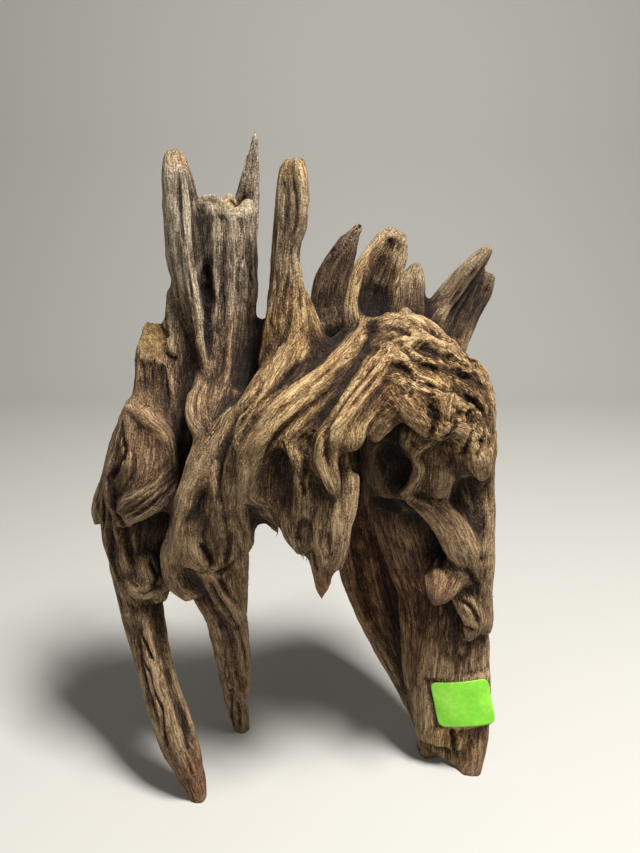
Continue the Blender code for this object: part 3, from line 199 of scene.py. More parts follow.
# The right side: a wrinkled hood over a dark hollow, with knots and drips down its edge
RIGHT_SIDE = [
    Root("hood_crest", (42, -12, 288, 11), (50, -9, 295, 12), (61, -6, 298, 12.5), (78, -3, 289, 13.5),
         (92, -4, 275, 12.5), (99, -8, 260, 11), (103, -13, 246, 9.5), (105, -15, 231, 8),
         (106, -15, 216, 7), flat=0.85, broad=(0, 1, 0), lobes=4),
    Root("hood_peak", (46, -8, 300, 9), (54, -6, 303, 10), (59, -5, 308, 7), (60, -5, 313, 3), flat=0.9,
         lobes=5),
    Root("hood_peak_ridge", (58, -8, 305, 7), (66, -10, 303, 8), (74, -12, 297, 8), (82, -14, 289, 8),
         flat=0.8, lobes=4),
    Root("hood_upper_fold", (47, -20, 292, 6.5), (60, -20, 295, 6.5), (74, -19, 287, 7),
         (88, -18, 273, 7), (98, -18, 259, 7), (103, -20, 247, 5), flat=0.8, lobes=2),
    Root("hood_brow", (45, -27, 285, 11), (60, -29, 282, 12), (77, -29, 271, 12.5), (91, -24, 258, 11.5),
         (99, -20, 244, 9), (104, -19, 231, 6), flat=0.8, broad=(0, 0.7, 0.7), lobes=4),
    Root("hood_lower_fold", (56, -38, 281, 6), (70, -38, 276, 6.5), (84, -34, 266, 6.5),
         (95, -28, 254, 6), (102, -25, 241, 6), (104, -24, 230, 4), flat=0.8, lobes=2),
    Root("hood_lip", (45, -35, 281, 8), (52, -41, 276, 7.5), (59, -44, 270, 7), (67, -45, 262, 7),
         (75, -43, 256, 6.5), (83, -41, 257, 6.5), (91, -37, 251, 6.5), (98, -31, 240, 6.5),
         (102, -26, 228, 4), flat=0.8, lobes=3),
    Root("hood_fill", (48, -5, 280, 16), (66, -5, 278, 17), (84, -2, 266, 16), (96, 2, 246, 13),
         flat=0.9),
    Root("hood_dome", (45, -19, 284, 14), (60, -18, 288, 18), (78, -16, 279, 19), (91, -15, 265, 17),
         (100, -15, 249, 14), (103, -16, 235, 10), flat=0.58, broad=(0, -0.8, -0.6), furrow=0.05),
    Root("hood_lip_web", (54, -32, 278, 9), (66, -34, 270, 11), (79, -33, 262, 11.5), (91, -29, 254, 11),
         (99, -25, 243, 8), flat=0.7, broad=(0, -0.6, -0.8), furrow=0.05),
    Root("hood_mass", (70, -36, 268, 7), (77, -36, 261, 9), (84, -33, 254, 10), (92, -29, 247, 10),
         (99, -25, 238, 9), (103, -23, 229, 5), flat=0.8, lobes=5, furrow=0.12),
    Root("hood_bulb", (90, -33, 254, 7), (96, -33, 245, 9), (100, -31, 235, 9), (102, -29, 227, 6.5),
         (103, -27, 222, 3), flat=0.85, lobes=3),
    Root("hood_hang", (78, -32, 262, 9), (84, -31, 250, 11), (88, -27, 237, 11), (88, -22, 224, 9),
         flat=0.75, lobes=5, furrow=0.14),
    Root("hood_knob", (80, -42, 275, 4.5), (79, -44, 267, 5), (79, -43, 259, 3.5), flat=0.8),
    Root("hood_edge", (93, -8, 283, 9), (100, -12, 270, 9.5), (104, -16, 258, 8.5), (105, -19, 247, 7),
         (106, -20, 236, 7), (106, -18, 221, 6), flat=0.8, lobes=5, furrow=0.16),
    Root("hollow_roof_left", (49, -20, 264, 15), (51, -6, 240, 16), (56, 6, 212, 14), (66, 14, 190, 10),
         flat=0.8, lobes=5, furrow=0.16),
    Root("hollow_roof_right", (80, -16, 262, 15), (88, -4, 238, 16), (94, 0, 212, 13), (98, 4, 192, 10),
         flat=0.8, lobes=5, furrow=0.16),
    Root("hollow_lump", (73, -26, 267, 9.5), (66, -31, 255, 9), (63, -29, 245, 7.5), (65, -24, 236, 5),
         flat=0.85, lobes=4),
    Root("hollow_ridge", (80, -36, 258, 5), (73, -34, 249, 5), (67, -32, 240, 5), (69, -30, 231, 5),
         (67, -27, 220, 5), (62, -22, 210, 6), flat=0.8, lobes=2),
    Root("hollow_facet", (80, -25, 252, 11), (79, -24, 236, 13), (79, -20, 220, 13.5), (79, -16, 206, 11),
         flat=0.8, lobes=4),
    Root("cup_rim", (62, -18, 252, 6), (52, -18, 245, 6), (45, -14, 232, 5.5), (43, -6, 214, 6),
         (46, 4, 192, 6), flat=0.8, lobes=2),
    Root("cup_floor", (52, -9, 244, 16), (53, -8, 224, 17), (57, -4, 206, 15), flat=0.7, lobes=5,
         furrow=0.16),
    Root("hollow_wall", (66, -10, 266, 24), (70, -11, 242, 27), (74, -9, 216, 25), (78, -5, 196, 18),
         flat=0.36, lobes=5, furrow=0.08),
    Root("hollow_apron", (62, 2, 226, 20), (63, 8, 196, 23), (70, 14, 164, 24), (82, 17, 125, 22),
         (90, 15, 95, 16), flat=0.5, broad=(1, -0.75, 0), lobes=5, furrow=0.05),
    Root("knotted_strand", (60, -14, 210, 6), (72, -20, 206, 8), (83, -22, 199, 10.5),
         (91, -22, 187, 11.5), (97, -20, 174, 11), (102, -18, 163, 8.5), (106, -15, 152, 6.5), flat=0.7,
         lobes=3, furrow=0.14),
    Root("edge_column", (108, -8, 246, 9), (107, -12, 220, 8), (109, -13, 201, 7.5), (110, -14, 183, 7.5),
         (111, -14, 163, 8), (111, -13, 147, 8), (114, -10, 128, 7), (116, -6, 110, 6), flat=0.85,
         lobes=2),
    Root("pocket_wall", (86, 8, 240, 13), (92, 3, 204, 13), (97, 1, 180, 12), (98, 2, 160, 12),
         (97, 7, 140, 10), flat=0.6),
    Root("pocket_fill", (92, -12, 224, 12), (98, -11, 206, 12), (104, -9, 187, 10.5), (107, -7, 168, 8),
         flat=0.8, lobes=5, furrow=0.14),
    Root("nub", (108, 6, 152, 14), (96, -6, 155, 14), (89, -15, 155, 13.5), (85, -22, 151, 11),
         (82, -26, 145, 6), (81, -27, 142, 2), flat=0.8, lobes=5, furrow=0.12),
    Root("drip", (98, -6, 150, 8), (102, -12, 139, 9), (107, -15, 128, 8.5), (108, -14, 117, 6),
         (106, -12, 108, 2.5), flat=0.8, lobes=3, furrow=0.14),
]

# The right leg is the foot of a curved buttress that backs the hollow
BUTTRESS = [
    Root("leg_face", (94, 22, 196, 10), (98, 12, 170, 15), (100, 6, 140, 19.5), (100, 4, 110, 22.5),
         (99.5, 2, 80, 24.5), (98.5, 1.5, 52, 24.5), (98, 1, 32, 22), (98, 1, 19, 18), flat=0.42,
         broad=(1, -0.2, 0), lobes=3, furrow=0.03),
    Root("leg_turn", (74, 32, 190, 14), (78, 26, 160, 16), (80, 20, 130, 17), (82, 15, 100, 16.5),
         (83, 12, 70, 15), (85, 10, 45, 13), (88, 8, 22, 9), flat=0.7, broad=(1, -0.9, 0), furrow=0.04),
    Root("buttress_edge", (100, 22, 262, 9), (105, 18, 240, 12), (109, 12, 190, 11.5),
         (111, 9, 140, 11.5), (115, 5, 90, 11.5), (118, 1, 50, 11.5), (118, -3, 16, 9.5),
         (116, -6, -3, 7), flat=0.8, lobes=3),
    Root("buttress_outer", (86, 36, 288, 9), (94, 43, 270, 12), (99, 42, 238, 15), (101, 37, 190, 15),
         (102, 28, 140, 14), (106, 16, 90, 13), (107, 7, 45, 12), (106, 3, 12, 10), (105, 2, 2, 8),
         flat=0.75, lobes=4),
    Root("buttress_back", (103, 47, 302, 9), (94, 48, 284, 12), (87, 55, 258, 15), (85, 60, 225, 17),
         (84, 55, 180, 16), (85, 44, 130, 14), (90, 29, 85, 12), (95, 14, 40, 11), (95, 8, 14, 9),
         (95, 7, 6, 7), flat=0.75, lobes=4),
    Root("buttress_inner", (67, 33, 300, 9), (61, 46, 276, 13), (59, 60, 246, 15), (59, 66, 212, 16),
         (58, 62, 170, 15), (62, 53, 125, 14), (72, 39, 80, 12), (83, 24, 40, 11), (89, 12, 14, 8),
         (90, 10, -3, 7), flat=0.7, lobes=4),
    Root("buttress_rim", (20, 38, 300, 10), (24, 44, 276, 13), (30, 53, 244, 15), (32, 57, 205, 15),
         (32, 54, 165, 13.5), (37, 48, 125, 12), (47, 41, 96, 11), (61, 33, 69, 9.5), (76, 25, 41, 8),
         (86, 17, 14, 6), (87, 16, -3, 6), flat=0.7),
    Root("buttress_sheet", (58, 44, 280, 24), (59, 54, 246, 29), (59, 57, 205, 29), (59, 51, 165, 27),
         (66, 42, 125, 24), (77, 32, 80, 18), (88, 19, 42, 12), (93, 9, 12, 8), flat=0.33, furrow=0.04,
         lobes=5),
]

# The back: roots that run from the crown to the rear leg, to the buttress and over the arch
BACK = [
    Root("rear_leg", (-58, -8, 150, 12), (-52, -2, 128, 13), (-49, 4, 112, 12.5), (-48, 12, 90, 11.5),
         (-46.5, 22, 52, 10), (-44, 31, 12, 7.5), (-43, 34, -3, 6.5), flat=0.75, lobes=4, furrow=0.14),
    Root("back_left", (-54, 24, 316, 8), (-58, 28, 296, 12), (-66, 36, 254, 16), (-71, 39, 204, 15),
         (-66, 34, 152, 12), (-57, 24, 112, 9), (-50, 18, 76, 7), flat=0.8, lobes=4),
    Root("back_far_left", (-77, 12, 288, 6), (-84, 20, 268, 11), (-95, 29, 228, 15), (-101, 27, 184, 13),
         (-102, 14, 146, 11), (-98, 0, 112, 9), flat=0.8, lobes=4),
    Root("back_middle", (-34, 20, 300, 9), (-32, 26, 274, 13), (-33, 37, 242, 15), (-41, 42, 196, 13),
         (-50, 35, 154, 10.5), (-52, 22, 116, 8.5), flat=0.8, lobes=4),
    Root("back_over_arch", (0, 0, 300, 9), (6, 20, 282, 13), (7, 42, 250, 16), (14, 52, 206, 13),
         (24, 55, 168, 10), (34, 50, 136, 8), flat=0.75, lobes=4),
    Root("back_tongue", (-10, 34, 262, 12), (-15, 45, 226, 12), (-18, 47, 194, 9), (-19, 45, 168, 4),
         (-19, 44, 158, 2), flat=0.7),
    Root("back_cross", (42, 22, 304, 9), (48, 46, 276, 11), (62, 69, 236, 11), (76, 71, 190, 10.5),
         (88, 58, 145, 9.5), (97, 40, 100, 8.5), (102, 20, 58, 7), (103, 8, 24, 6), flat=0.8),
    Root("back_cross_low", (98, 52, 262, 8), (84, 69, 232, 9), (64, 77, 205, 9), (46, 70, 176, 8.5),
         (37, 60, 146, 7.5), (40, 52, 116, 6), flat=0.8, lobes=2),
    Root("back_sash", (-28, 38, 268, 8), (-44, 50, 246, 9.5), (-66, 55, 218, 9.5), (-87, 47, 192, 9),
         (-102, 30, 166, 8.5), (-106, 12, 138, 7.5), (-102, -2, 108, 6), flat=0.8),
    Root("back_hook", (-70, 46, 236, 8), (-80, 54, 208, 9), (-84, 54, 182, 8), (-82, 49, 160, 6),
         (-77, 45, 145, 3), flat=0.7),
    Root("back_thin", (-14, 30, 276, 7), (-26, 48, 248, 8), (-34, 57, 214, 7.5), (-42, 54, 178, 7),
         (-48, 44, 140, 6.5), (-47, 32, 98, 6), (-45, 29, 60, 5), flat=0.85, lobes=2),
    Root("core_left", (-92, 6, 214, 18), (-70, 8, 232, 22), (-46, 6, 244, 22), (-20, 6, 254, 22),
         flat=0.9),
    Root("core_right", (-20, 6, 254, 22), (6, 6, 264, 22), (34, 16, 272, 20), (66, 26, 276, 20),
         (88, 28, 272, 15), flat=0.9),
    Root("core_back", (-46, 22, 282, 13), (-52, 28, 246, 15), (-56, 28, 206, 14), (-56, 22, 160, 11),
         flat=0.8),
    Root("core_stub", (-76, 12, 262, 10), (-80, 16, 232, 14), (-86, 14, 196, 14), flat=0.8),
]

# Narrow folds that stand out from the broad roots
FOLDS = [
    Root("fold_stump_knot_left", (-53, -22, 271, 3), (-54, -27, 262, 4.5), (-52, -31, 255, 4.5),
         (-47, -34, 250, 3.5)),
    Root("fold_stump_knot_right", (-46, -18, 274, 3), (-47, -26, 265, 4), (-46, -31, 258, 4),
         (-42, -36, 251, 3.5)),
    Root("fold_strand_outer", (-31, -34, 265, 3), (-39, -38, 251, 5), (-48, -40, 236, 5.5),
         (-57, -40, 220, 5.5), (-62, -38, 202, 5), (-65, -34, 184, 4), (-66, -29, 172, 3)),
    Root("fold_strand_inner", (-23, -41, 265, 3), (-33, -44, 251, 4.5), (-37, -44, 235, 5),
         (-39, -43, 217, 5), (-38, -39, 202, 5), (-38, -33, 186, 4), (-36, -28, 172, 3)),
    Root("fold_sheet_end", (-13, -54, 261, 4), (-22, -54, 248, 5), (-26, -52, 233, 5), (-29, -42, 213, 5),
         (-28, -34, 194, 4), (-28, -28, 178, 3)),
    Root("fold_knee_left", (-52, -36, 212, 4), (-56, -34, 195, 5.5), (-56, -33, 180, 5.5),
         (-50, -31, 168, 5), (-46, -26, 155, 4)),
    Root("fold_knee_knot", (-61, -31, 186, 4), (-57, -33, 176, 5), (-52, -33, 173, 4.5),
         (-49, -32, 178, 3)),
    Root("fold_knee_right", (-40, -31, 188, 4), (-38, -26, 168, 4.5), (-37, -20, 149, 4.5),
         (-37, -12, 128, 4), (-36, -2, 104, 3)),
    Root("fold_belly_brow", (-98, -9, 250, 4), (-90, -12, 257, 5), (-81, -17, 254, 5.5),
         (-72, -19, 247, 5), (-68, -20, 236, 4), (-67, -19, 226, 3)),
    Root("fold_belly_lower", (-104, -13, 196, 3), (-95, -21, 206, 4), (-85, -26, 212, 4.5),
         (-76, -25, 220, 4), (-71, -20, 230, 3)),
    Root("fold_outer", (-114, 2, 205, 3), (-116, 2, 190, 4), (-116, 0, 172, 4), (-112, -3, 156, 4),
         (-106, -8, 140, 4), (-103, -12, 124, 3)),
    Root("fold_leg_collar", (-101, -12, 148, 4), (-93, -15, 144, 5), (-84, -15, 147, 4.5),
         (-78, -10, 152, 4)),
    Root("fold_hood_1", (44, -18, 294, 3), (53, -15, 299, 4.5), (63, -11, 302, 5), (75, -13, 297, 5),
         (89, -8, 288, 4.5), (99, -12, 278, 4), (104, -15, 266, 3)),
    Root("fold_hood_2", (45, -27, 296, 3), (55, -30, 298, 4.5), (66, -23, 299, 5), (81, -21, 290, 5),
         (97, -17, 277, 4.5), (105, -18, 264, 4), (106, -20, 252, 3)),
    Root("fold_hood_3", (44, -33, 291, 3), (53, -37, 292, 4.5), (65, -34, 289, 4.5), (79, -32, 282, 4.5),
         (93, -27, 270, 4.5), (102, -24, 256, 4), (104, -23, 245, 3)),
    Root("fold_hood_4", (50, -41, 284, 3), (60, -42, 283, 4), (75, -42, 276, 4.5), (89, -37, 267, 4),
         (98, -31, 254, 4), (102, -27, 242, 3)),
    Root("fold_hood_hem", (56, -46, 274, 3.5), (64, -47, 267, 4), (70, -47, 260, 4.5),
         (77, -44, 254, 4.5), (82, -42, 257, 4), (88, -40, 253, 4.5), (95, -35, 246, 4.5),
         (98, -31, 236, 3)),
    Root("fold_scoop_top", (41, -2, 306, 4), (32, -21, 294, 5), (19, -37, 286, 5), (7, -47, 279, 5),
         (-4, -54, 270, 5), (-13, -57, 260, 4), (-20, -57, 249, 3)),
    Root("fold_scoop_low", (22, -40, 277, 3.5), (13, -46, 270, 4.5), (5, -51, 262, 4.5),
         (-1, -55, 254, 4), (1, -56, 243, 3)),
    Root("fold_horn_left", (3, -20, 306, 3), (-6, -30, 288, 5), (-13, -38, 277, 5), (-21, -43, 266, 5),
         (-28, -45, 254, 4), (-32, -45, 240, 3)),
    Root("fold_boot_lace", (50, -33, 295, 3.5), (43, -42, 285, 4), (34, -50, 276, 4.5),
         (26, -54, 267, 4.5), (17, -57, 257, 4.5), (14, -57, 247, 4), (17, -57, 236, 3.5),
         (21, -55, 225, 2.5)),
    Root("fold_boot_side", (57, -40, 284, 3.5), (47, -44, 277, 4), (40, -47, 268, 4), (34, -51, 260, 4),
         (33, -52, 251, 3)),
    Root("fold_tongue_left", (12, -44, 232, 3), (13, -46, 217, 4), (12, -45, 200, 4.5), (13, -44, 181, 4),
         (15, -40, 160, 3)),
    Root("fold_tongue_right", (22, -44, 230, 3), (22, -47, 215, 4), (21, -46, 197, 4.5),
         (18, -44, 178, 3)),
    Root("fold_stump_ridge", (-31, -3, 364, 2), (-31, -3, 350, 3), (-32, -4, 326, 3.5), (-34, -5, 303, 4),
         (-37, -12, 280, 5), (-42, -20, 264, 4)),
    Root("fold_prong_ridge", (-57, -3, 384, 2.5), (-56, -4, 362, 4), (-56, -4, 340, 4.5),
         (-53, -5, 316, 4.5), (-49, -9, 294, 4.5), (-46, -14, 278, 3.5)),
    Root("fold_leg_front", (-92, -16, 128, 4), (-89, -21, 105, 5), (-82, -27, 76, 5), (-73, -32, 44, 5),
         (-66, -32, 18, 3.5)),
    Root("fold_leg_side", (-100, -11, 120, 4), (-98, -16, 96, 4.5), (-92, -23, 70, 4.5),
         (-82, -29, 42, 4.5), (-73, -31, 20, 3.5)),
]

ROOTS = CROWN + LEFT_SIDE + MIDDLE + RIGHT_SIDE + BUTTRESS + BACK + FOLDS

# The corner between the hood's lip and the strand beside it is small, and only shown here
ROOTS.append(Root("flank_corner", (58, -42, 270, 5), (51, -42, 264, 6.5), (45, -41, 257, 7),
                  (42, -40, 249, 4.5), flat=0.8))

# The trunk's skin
# Every root is swept as a closed tube with furrows, and a voxel remesh fuses the tubes into one skin, as
# the living roots fused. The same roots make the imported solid, so the skin keeps its form. Narrow slits
# are then closed by swelling the skin, fusing it again and shrinking it back.

MM = 0.001
SKIN_VOXEL = 1.35
RING_SIDES = 40
RING_STEP = 1.5
THINNEST = 1.0
SLIT_CLOSING = 2.2
CREASE_FILLING = 8
SAWN_POINT = (-79, 3, 295)
SAWN_FACING = np.array((0.12, -0.77, 0.62)) / 0.996  # that is, by its own length


def spline(points, step):
    """Points every step along the smooth curve (Catmull-Rom) that passes through the given ones."""
    padded = np.vstack([2 * points[0] - points[1], points, 2 * points[-1] - points[-2]])
    pieces = []
    for i in range(1, len(padded) - 2):
        before, start, end, after = padded[i - 1:i + 3]
        count = max(2, int(np.linalg.norm(end[:3] - start[:3]) / step))
        t = (np.arange(count) / count)[:, None]
        pieces.append(0.5 * (2 * start + (end - before) * t
                             + (2 * before - 5 * start + 4 * end - after) * t ** 2
                             + (3 * start - before - 3 * end + after) * t ** 3))
    return np.vstack(pieces + [points[-1:]])


def unit(vectors):
    """The vectors divided by their lengths."""
    return vectors / np.maximum(np.linalg.norm(vectors, axis=-1, keepdims=True), 1e-9)


def path_of(root):
    """Centre line, half widths, and the two directions across the root, all along its path."""
    line = spline(root.points, RING_STEP)
    centre, width = line[:, :3], np.maximum(line[:, 3], THINNEST)
    along = unit(np.gradient(centre, axis=0))
    side = unit(root.broad - (along @ root.broad)[:, None] * along)
    return centre, width, along, side, np.cross(along, side)


def rings(root):
    """The root's surface as rings of points: an ellipse with lobes, carried along the path.

    The lobes turn slowly along the root. Each root starts them at another angle, given by its name's
    length. A sawn root's points beyond the saw cut slide straight down onto it.
    """
    centre, width, along, side, thin = path_of(root)
    run = np.linspace(0, 1, len(centre))[:, None]
    angle = np.linspace(0, 2 * math.pi, RING_SIDES, endpoint=False)[None, :]
    phase = root.lobes * (angle / 2 + math.pi * root.turn * run) + len(root.name)
    furrows = 1 - root.furrow * (1 - np.abs(np.cos(phase))) * 2
    across = width[:, None] * furrows * np.cos(angle)
    through = width[:, None] * root.flat * furrows * np.sin(angle)
    grid = centre[:, None] + across[..., None] * side[:, None] + through[..., None] * thin[:, None]
    if root.sawn:
        grid[..., 2] -= np.maximum((grid - SAWN_POINT) @ SAWN_FACING, 0) / SAWN_FACING[2]
    return grid


def grid_faces(rows, columns, start):
    """Quads of a tube whose rings have the given number of points, as vertex numbers."""
    i, j = np.meshgrid(np.arange(rows - 1), np.arange(columns), indexing="ij")
    k = (j + 1) % columns
    corners = [i * columns + j, i * columns + k, (i + 1) * columns + k, (i + 1) * columns + j]
    return start + np.stack(corners, axis=-1).reshape(-1, 4)


def mesh_from(name, points, faces):
    """A mesh from points in millimetres and faces as vertex numbers."""
    mesh = bpy.data.meshes.new(name)
    mesh.from_pydata((points * MM).tolist(), [], faces)
    mesh.update()
    return mesh


def shown(name, data):
    """A new object in the scene, at the origin, that shows the given mesh, lamp or camera."""
    thing = bpy.data.objects.new(name, data)
    bpy.context.scene.collection.objects.link(thing)
    return thing


def with_modifier(mesh, kind, **settings):
    """The mesh after one modifier, as a new mesh."""
    holder = shown("holder", mesh)
    modifier = holder.modifiers.new(kind, kind)
    for name, value in settings.items():
        setattr(modifier, name, value)
    graph = bpy.context.evaluated_depsgraph_get()
    result = bpy.data.meshes.new_from_object(holder.evaluated_get(graph))
    bpy.data.objects.remove(holder)
    bpy.data.meshes.remove(mesh)
    return result


def vectors_of(elements, name):
    """A property of three numbers, read from every element of a mesh."""
    flat = np.empty(len(elements) * 3, np.float32)
    elements.foreach_get(name, flat)
    return flat.reshape(-1, 3).astype(float)


def points_of(mesh):
    """The mesh's vertices, in millimetres."""
    return vectors_of(mesh.vertices, "co") / MM


def normals_of(mesh):
    """The way that the surface faces at each vertex."""
    return vectors_of(mesh.vertex_normals, "vector")


def set_points(mesh, points):
    """Moves the mesh's vertices to the given points in millimetres."""
    mesh.vertices.foreach_set("co", (points * MM).astype(np.float32).ravel())
    mesh.update()


def neighbour_mean(mesh, values, rounds):
    """Values at the vertices, each averaged with its neighbours a number of times."""
    edges = np.empty(len(mesh.edges) * 2, np.int32)
    mesh.edges.foreach_get("vertices", edges)
    a, b = edges.reshape(-1, 2).T
    count = np.bincount(np.concatenate([a, b]), minlength=len(mesh.vertices)) + 1.0
    for _ in range(rounds):
        values = np.stack([(values[:, k] + np.bincount(a, values[b, k], len(values))
                            + np.bincount(b, values[a, k], len(values))) / count
                           for k in range(values.shape[1])], axis=1)
    return values


def swell(mesh, amount):
    """Moves the whole surface outwards, or inwards where the amount is negative."""
    normals = unit(neighbour_mean(mesh, normals_of(mesh), 2))
    set_points(mesh, points_of(mesh) + amount * normals)


def fill_creases(mesh, rounds, inward=0.12, outward=0.9):
    """Smooths the mesh, mostly where that moves it outwards, so that creases fill and ridges stay."""
    for _ in range(rounds):
        places, normals = points_of(mesh), normals_of(mesh)
        step = neighbour_mean(mesh, places, 1) - places
        out = (step * normals).sum(axis=1)
        set_points(mesh, places + np.where(out > 0, outward, inward)[:, None] * step)


def fused(mesh, smoothing):
    """One closed skin round everything in the mesh, smoothed a number of times."""
    mesh = with_modifier(mesh, "REMESH", mode="VOXEL", voxel_size=SKIN_VOXEL * MM)
    set_points(mesh, neighbour_mean(mesh, points_of(mesh), smoothing))
    return mesh


points, faces, start = [], [], 0
for root in ROOTS:
    grid = rings(root)
    end = start + len(grid) * RING_SIDES
    points.append(grid.reshape(-1, 3))
    faces += grid_faces(len(grid), RING_SIDES, start).tolist()
    faces += [list(range(start, start + RING_SIDES))[::-1], list(range(end - RING_SIDES, end))]
    start = end
skin = fused(mesh_from("skin", np.vstack(points), faces), 2)
swell(skin, SLIT_CLOSING)
skin = fused(skin, 1)
swell(skin, -SLIT_CLOSING)
fill_creases(skin, CREASE_FILLING)

# The run of the grain
# Each point of the skin gets coordinates along and across the root that it lies on, so that
# the fibres follow every bend. Where two roots meet, both sets are kept and blended.

GRAIN_BLEND = 2.2
GRAIN_REACH = 8.0
GRAIN_STEP = (11.0, 0.0, 37.0)
FAR_AWAY = 99.0


def squared_gaps(places, line):
    """Squared distance of every place to every point of a line, with a row for each place."""
    return (places ** 2).sum(axis=1)[:, None] - 2 * places @ line.T + (line ** 2).sum(axis=1)


def nearness(root, places):
    """For each place: distance outside the root's surface, and its coordinates along and across it.

    The coordinates across are scaled as if the root kept one width, so that fibres run in and out
    with its taper.
    """
    centre, width, along, side, thin = path_of(root)
    length = np.concatenate([[0], np.cumsum(np.linalg.norm(np.diff(centre, axis=0), axis=1))])
    nearest = (squared_gaps(places, centre) / width).argmin(axis=1)
    offset = places - centre[nearest]
    run = (offset * along[nearest]).sum(axis=1)
    a = (offset * side[nearest]).sum(axis=1)
    b = (offset * thin[nearest]).sum(axis=1)
    reach = np.sqrt(a ** 2 + (b / root.flat) ** 2 + np.maximum(np.abs(run) - RING_STEP, 0) ** 2)
    scale = np.clip(np.median(width) / width[nearest], 0.6, 1.8)
    return reach - width[nearest], np.stack([a * scale, b * scale, length[nearest] + run], axis=1)


def all_nearness(places):
    """Distances and grain coordinates of every place to every root close to it.

    Each root's coordinates start somewhere else, so that no two roots show the same fibres.
    """
    outside = np.full((len(places), len(ROOTS)), FAR_AWAY, np.float32)
    grain = np.zeros((len(places), len(ROOTS), 3), np.float32)
    for k, root in enumerate(ROOTS):
        reach = root.points[:, 3].max() + GRAIN_REACH
        low, high = root.points[:, :3].min(axis=0) - reach, root.points[:, :3].max(axis=0) + reach
        close = np.flatnonzero(((places > low) & (places < high)).all(axis=1))
        if len(close):
            distance, coordinates = nearness(root, places[close])
            outside[close, k] = distance
            grain[close, k] = coordinates + np.array(GRAIN_STEP) * k
    return outside, grain


def two_nearest(outside):
    """The two roots nearest to each row, and the weight of the first."""
    order = np.argpartition(outside, 1, axis=1)[:, :2]
    pair = np.take_along_axis(outside, order, axis=1)
    swap = pair[:, 0] > pair[:, 1]
    order[swap] = order[swap, ::-1]
    pair[swap] = pair[swap, ::-1]
    return order, np.clip(0.5 + (pair[:, 1] - pair[:, 0]) / (2 * GRAIN_BLEND), 0.5, 1.0)


# The relief of the wood
# Weather has washed the soft wood out from between the harder rings, which leaves ridges and furrows
# along the fibres. The hood is wrinkled and pitted as well. All of it is moved into the mesh itself.

rng = np.random.default_rng(33)
GRADIENTS = unit(rng.normal(size=(256, 3)))

# Ridges of the grain: width, how many times longer they are, height, and the seed of their noise
RIDGES = ((22, 4.5, 1.0, 3), (10, 7, 0.55, 4), (4.6, 10, 0.35, 5), (2.7, 12, 0.3, 6))
RIDGE_STEEPNESS = 3.2
RIDGE_ROUNDING = 0.75
RIDGE_MEAN = 0.62
# Bends of the grain, cracks, and the areas that are cracked: size across twice, and along
BEND_CELLS = (40, 40, 26)
BEND_WIDTH = 5
CRACK_CELLS = (10, 10, 130)
CRACK_DEPTH = 1.2
CRACK_WIDTH = 0.035
CRACKED_CELLS = (30, 30, 55)
# Lumps and the hood's pits: size, height and seed
LUMPS = ((13, 0.9, 9), (5.5, 0.35, 10))
PITS = ((5, 0.9, 17), (2.8, 0.6, 18))
# The hood's folds and small wrinkles: height, steepness, size in three directions, and seed
HOOD_MIDDLE = (80, -22, 277)
HOOD_REACH = 36
HOOD_SLANT = 0.5
WRINKLES = ((1.25, 3.5, (21, 13, 7.5), 15), (0.65, 3, (9, 6, 3.6), 16))
WRINKLE_MEAN = 0.6


def noise(places, seed):
    """Smooth gradient noise, about -0.7 to 0.7, one cell per unit.

    Each cell corner has a random slope, picked by mixing the corner's whole numbers, and the slopes
    are blended with a curve that is level at both ends.
    """
    cell = np.floor(places).astype(np.int64)
    part = places - cell
    fade = part ** 3 * (part * (part * 6 - 15) + 10)
    total = np.zeros(len(places))
    for corner in np.ndindex(2, 2, 2):
        step = np.array(corner)
        mixed = ((cell + step) * (73856093, 19349663, 83492791)).sum(axis=1) + seed * 2654435761
        mixed = (mixed ^ (mixed >> 13)) * 1274126177 & 0xFFFFFFFF
        slope = GRADIENTS[(mixed ^ (mixed >> 16)) & 255]
        weight = np.where(step, fade, 1 - fade).prod(axis=1)
        total += weight * (slope * (part - step)).sum(axis=1)
    return total


def drawn_out(coordinates, sizes, seed):
    """Noise whose cells have a size of their own along each of three coordinates."""
    return noise(np.stack([line / size for line, size in zip(coordinates, sizes)], axis=1), seed)


def heaped(places, heaps):
    """The sum of several noises, each with its size, height and seed."""
    return sum(height * noise(places / size, seed) for size, height, seed in heaps)


def relief(grain, places):
    """Height in millimetres of the grain's ridges: round backs with sharp furrows between them.

    A furrow is where a noise passes through nought, and a crack is the same, narrower and deeper.
    """
    a, b = (grain[:, k] + BEND_WIDTH * drawn_out(grain.T, BEND_CELLS, k + 1) for k in (0, 1))
    along = grain[:, 2]
    height = np.zeros(len(places))
    for size, stretch, depth, seed in RIDGES:
        field = drawn_out((a, b, along), (size, size, size * stretch), seed)
        height += depth * (np.minimum(np.abs(field) * RIDGE_STEEPNESS, 1.0) ** RIDGE_ROUNDING - RIDGE_MEAN)
    cracks = drawn_out((a, b, along), CRACK_CELLS, 7)
    open_here = drawn_out((a, b, along), CRACKED_CELLS, 8)
    height -= CRACK_DEPTH * np.exp(-(cracks / CRACK_WIDTH) ** 2) * np.clip(open_here * 4, 0, 1)
    height += heaped(places, LUMPS)
    return height


def hood_wrinkles(places):
    """Long wrinkles over the hood, which run down to the right with its outline, and small pits."""
    x, y, z = places.T
    slanted = (x - HOOD_SLANT * z, y, z + HOOD_SLANT * x)
    on_hood = np.clip(1.5 - np.linalg.norm(places - HOOD_MIDDLE, axis=1) / HOOD_REACH, 0, 1)
    wrinkled = 0
    for height, steepness, cells, seed in WRINKLES:
        field = drawn_out(slanted, cells, seed)
        wrinkled = wrinkled + height * (np.minimum(np.abs(field) * steepness, 1) - WRINKLE_MEAN)
    return on_hood * (wrinkled + heaped(places, PITS))


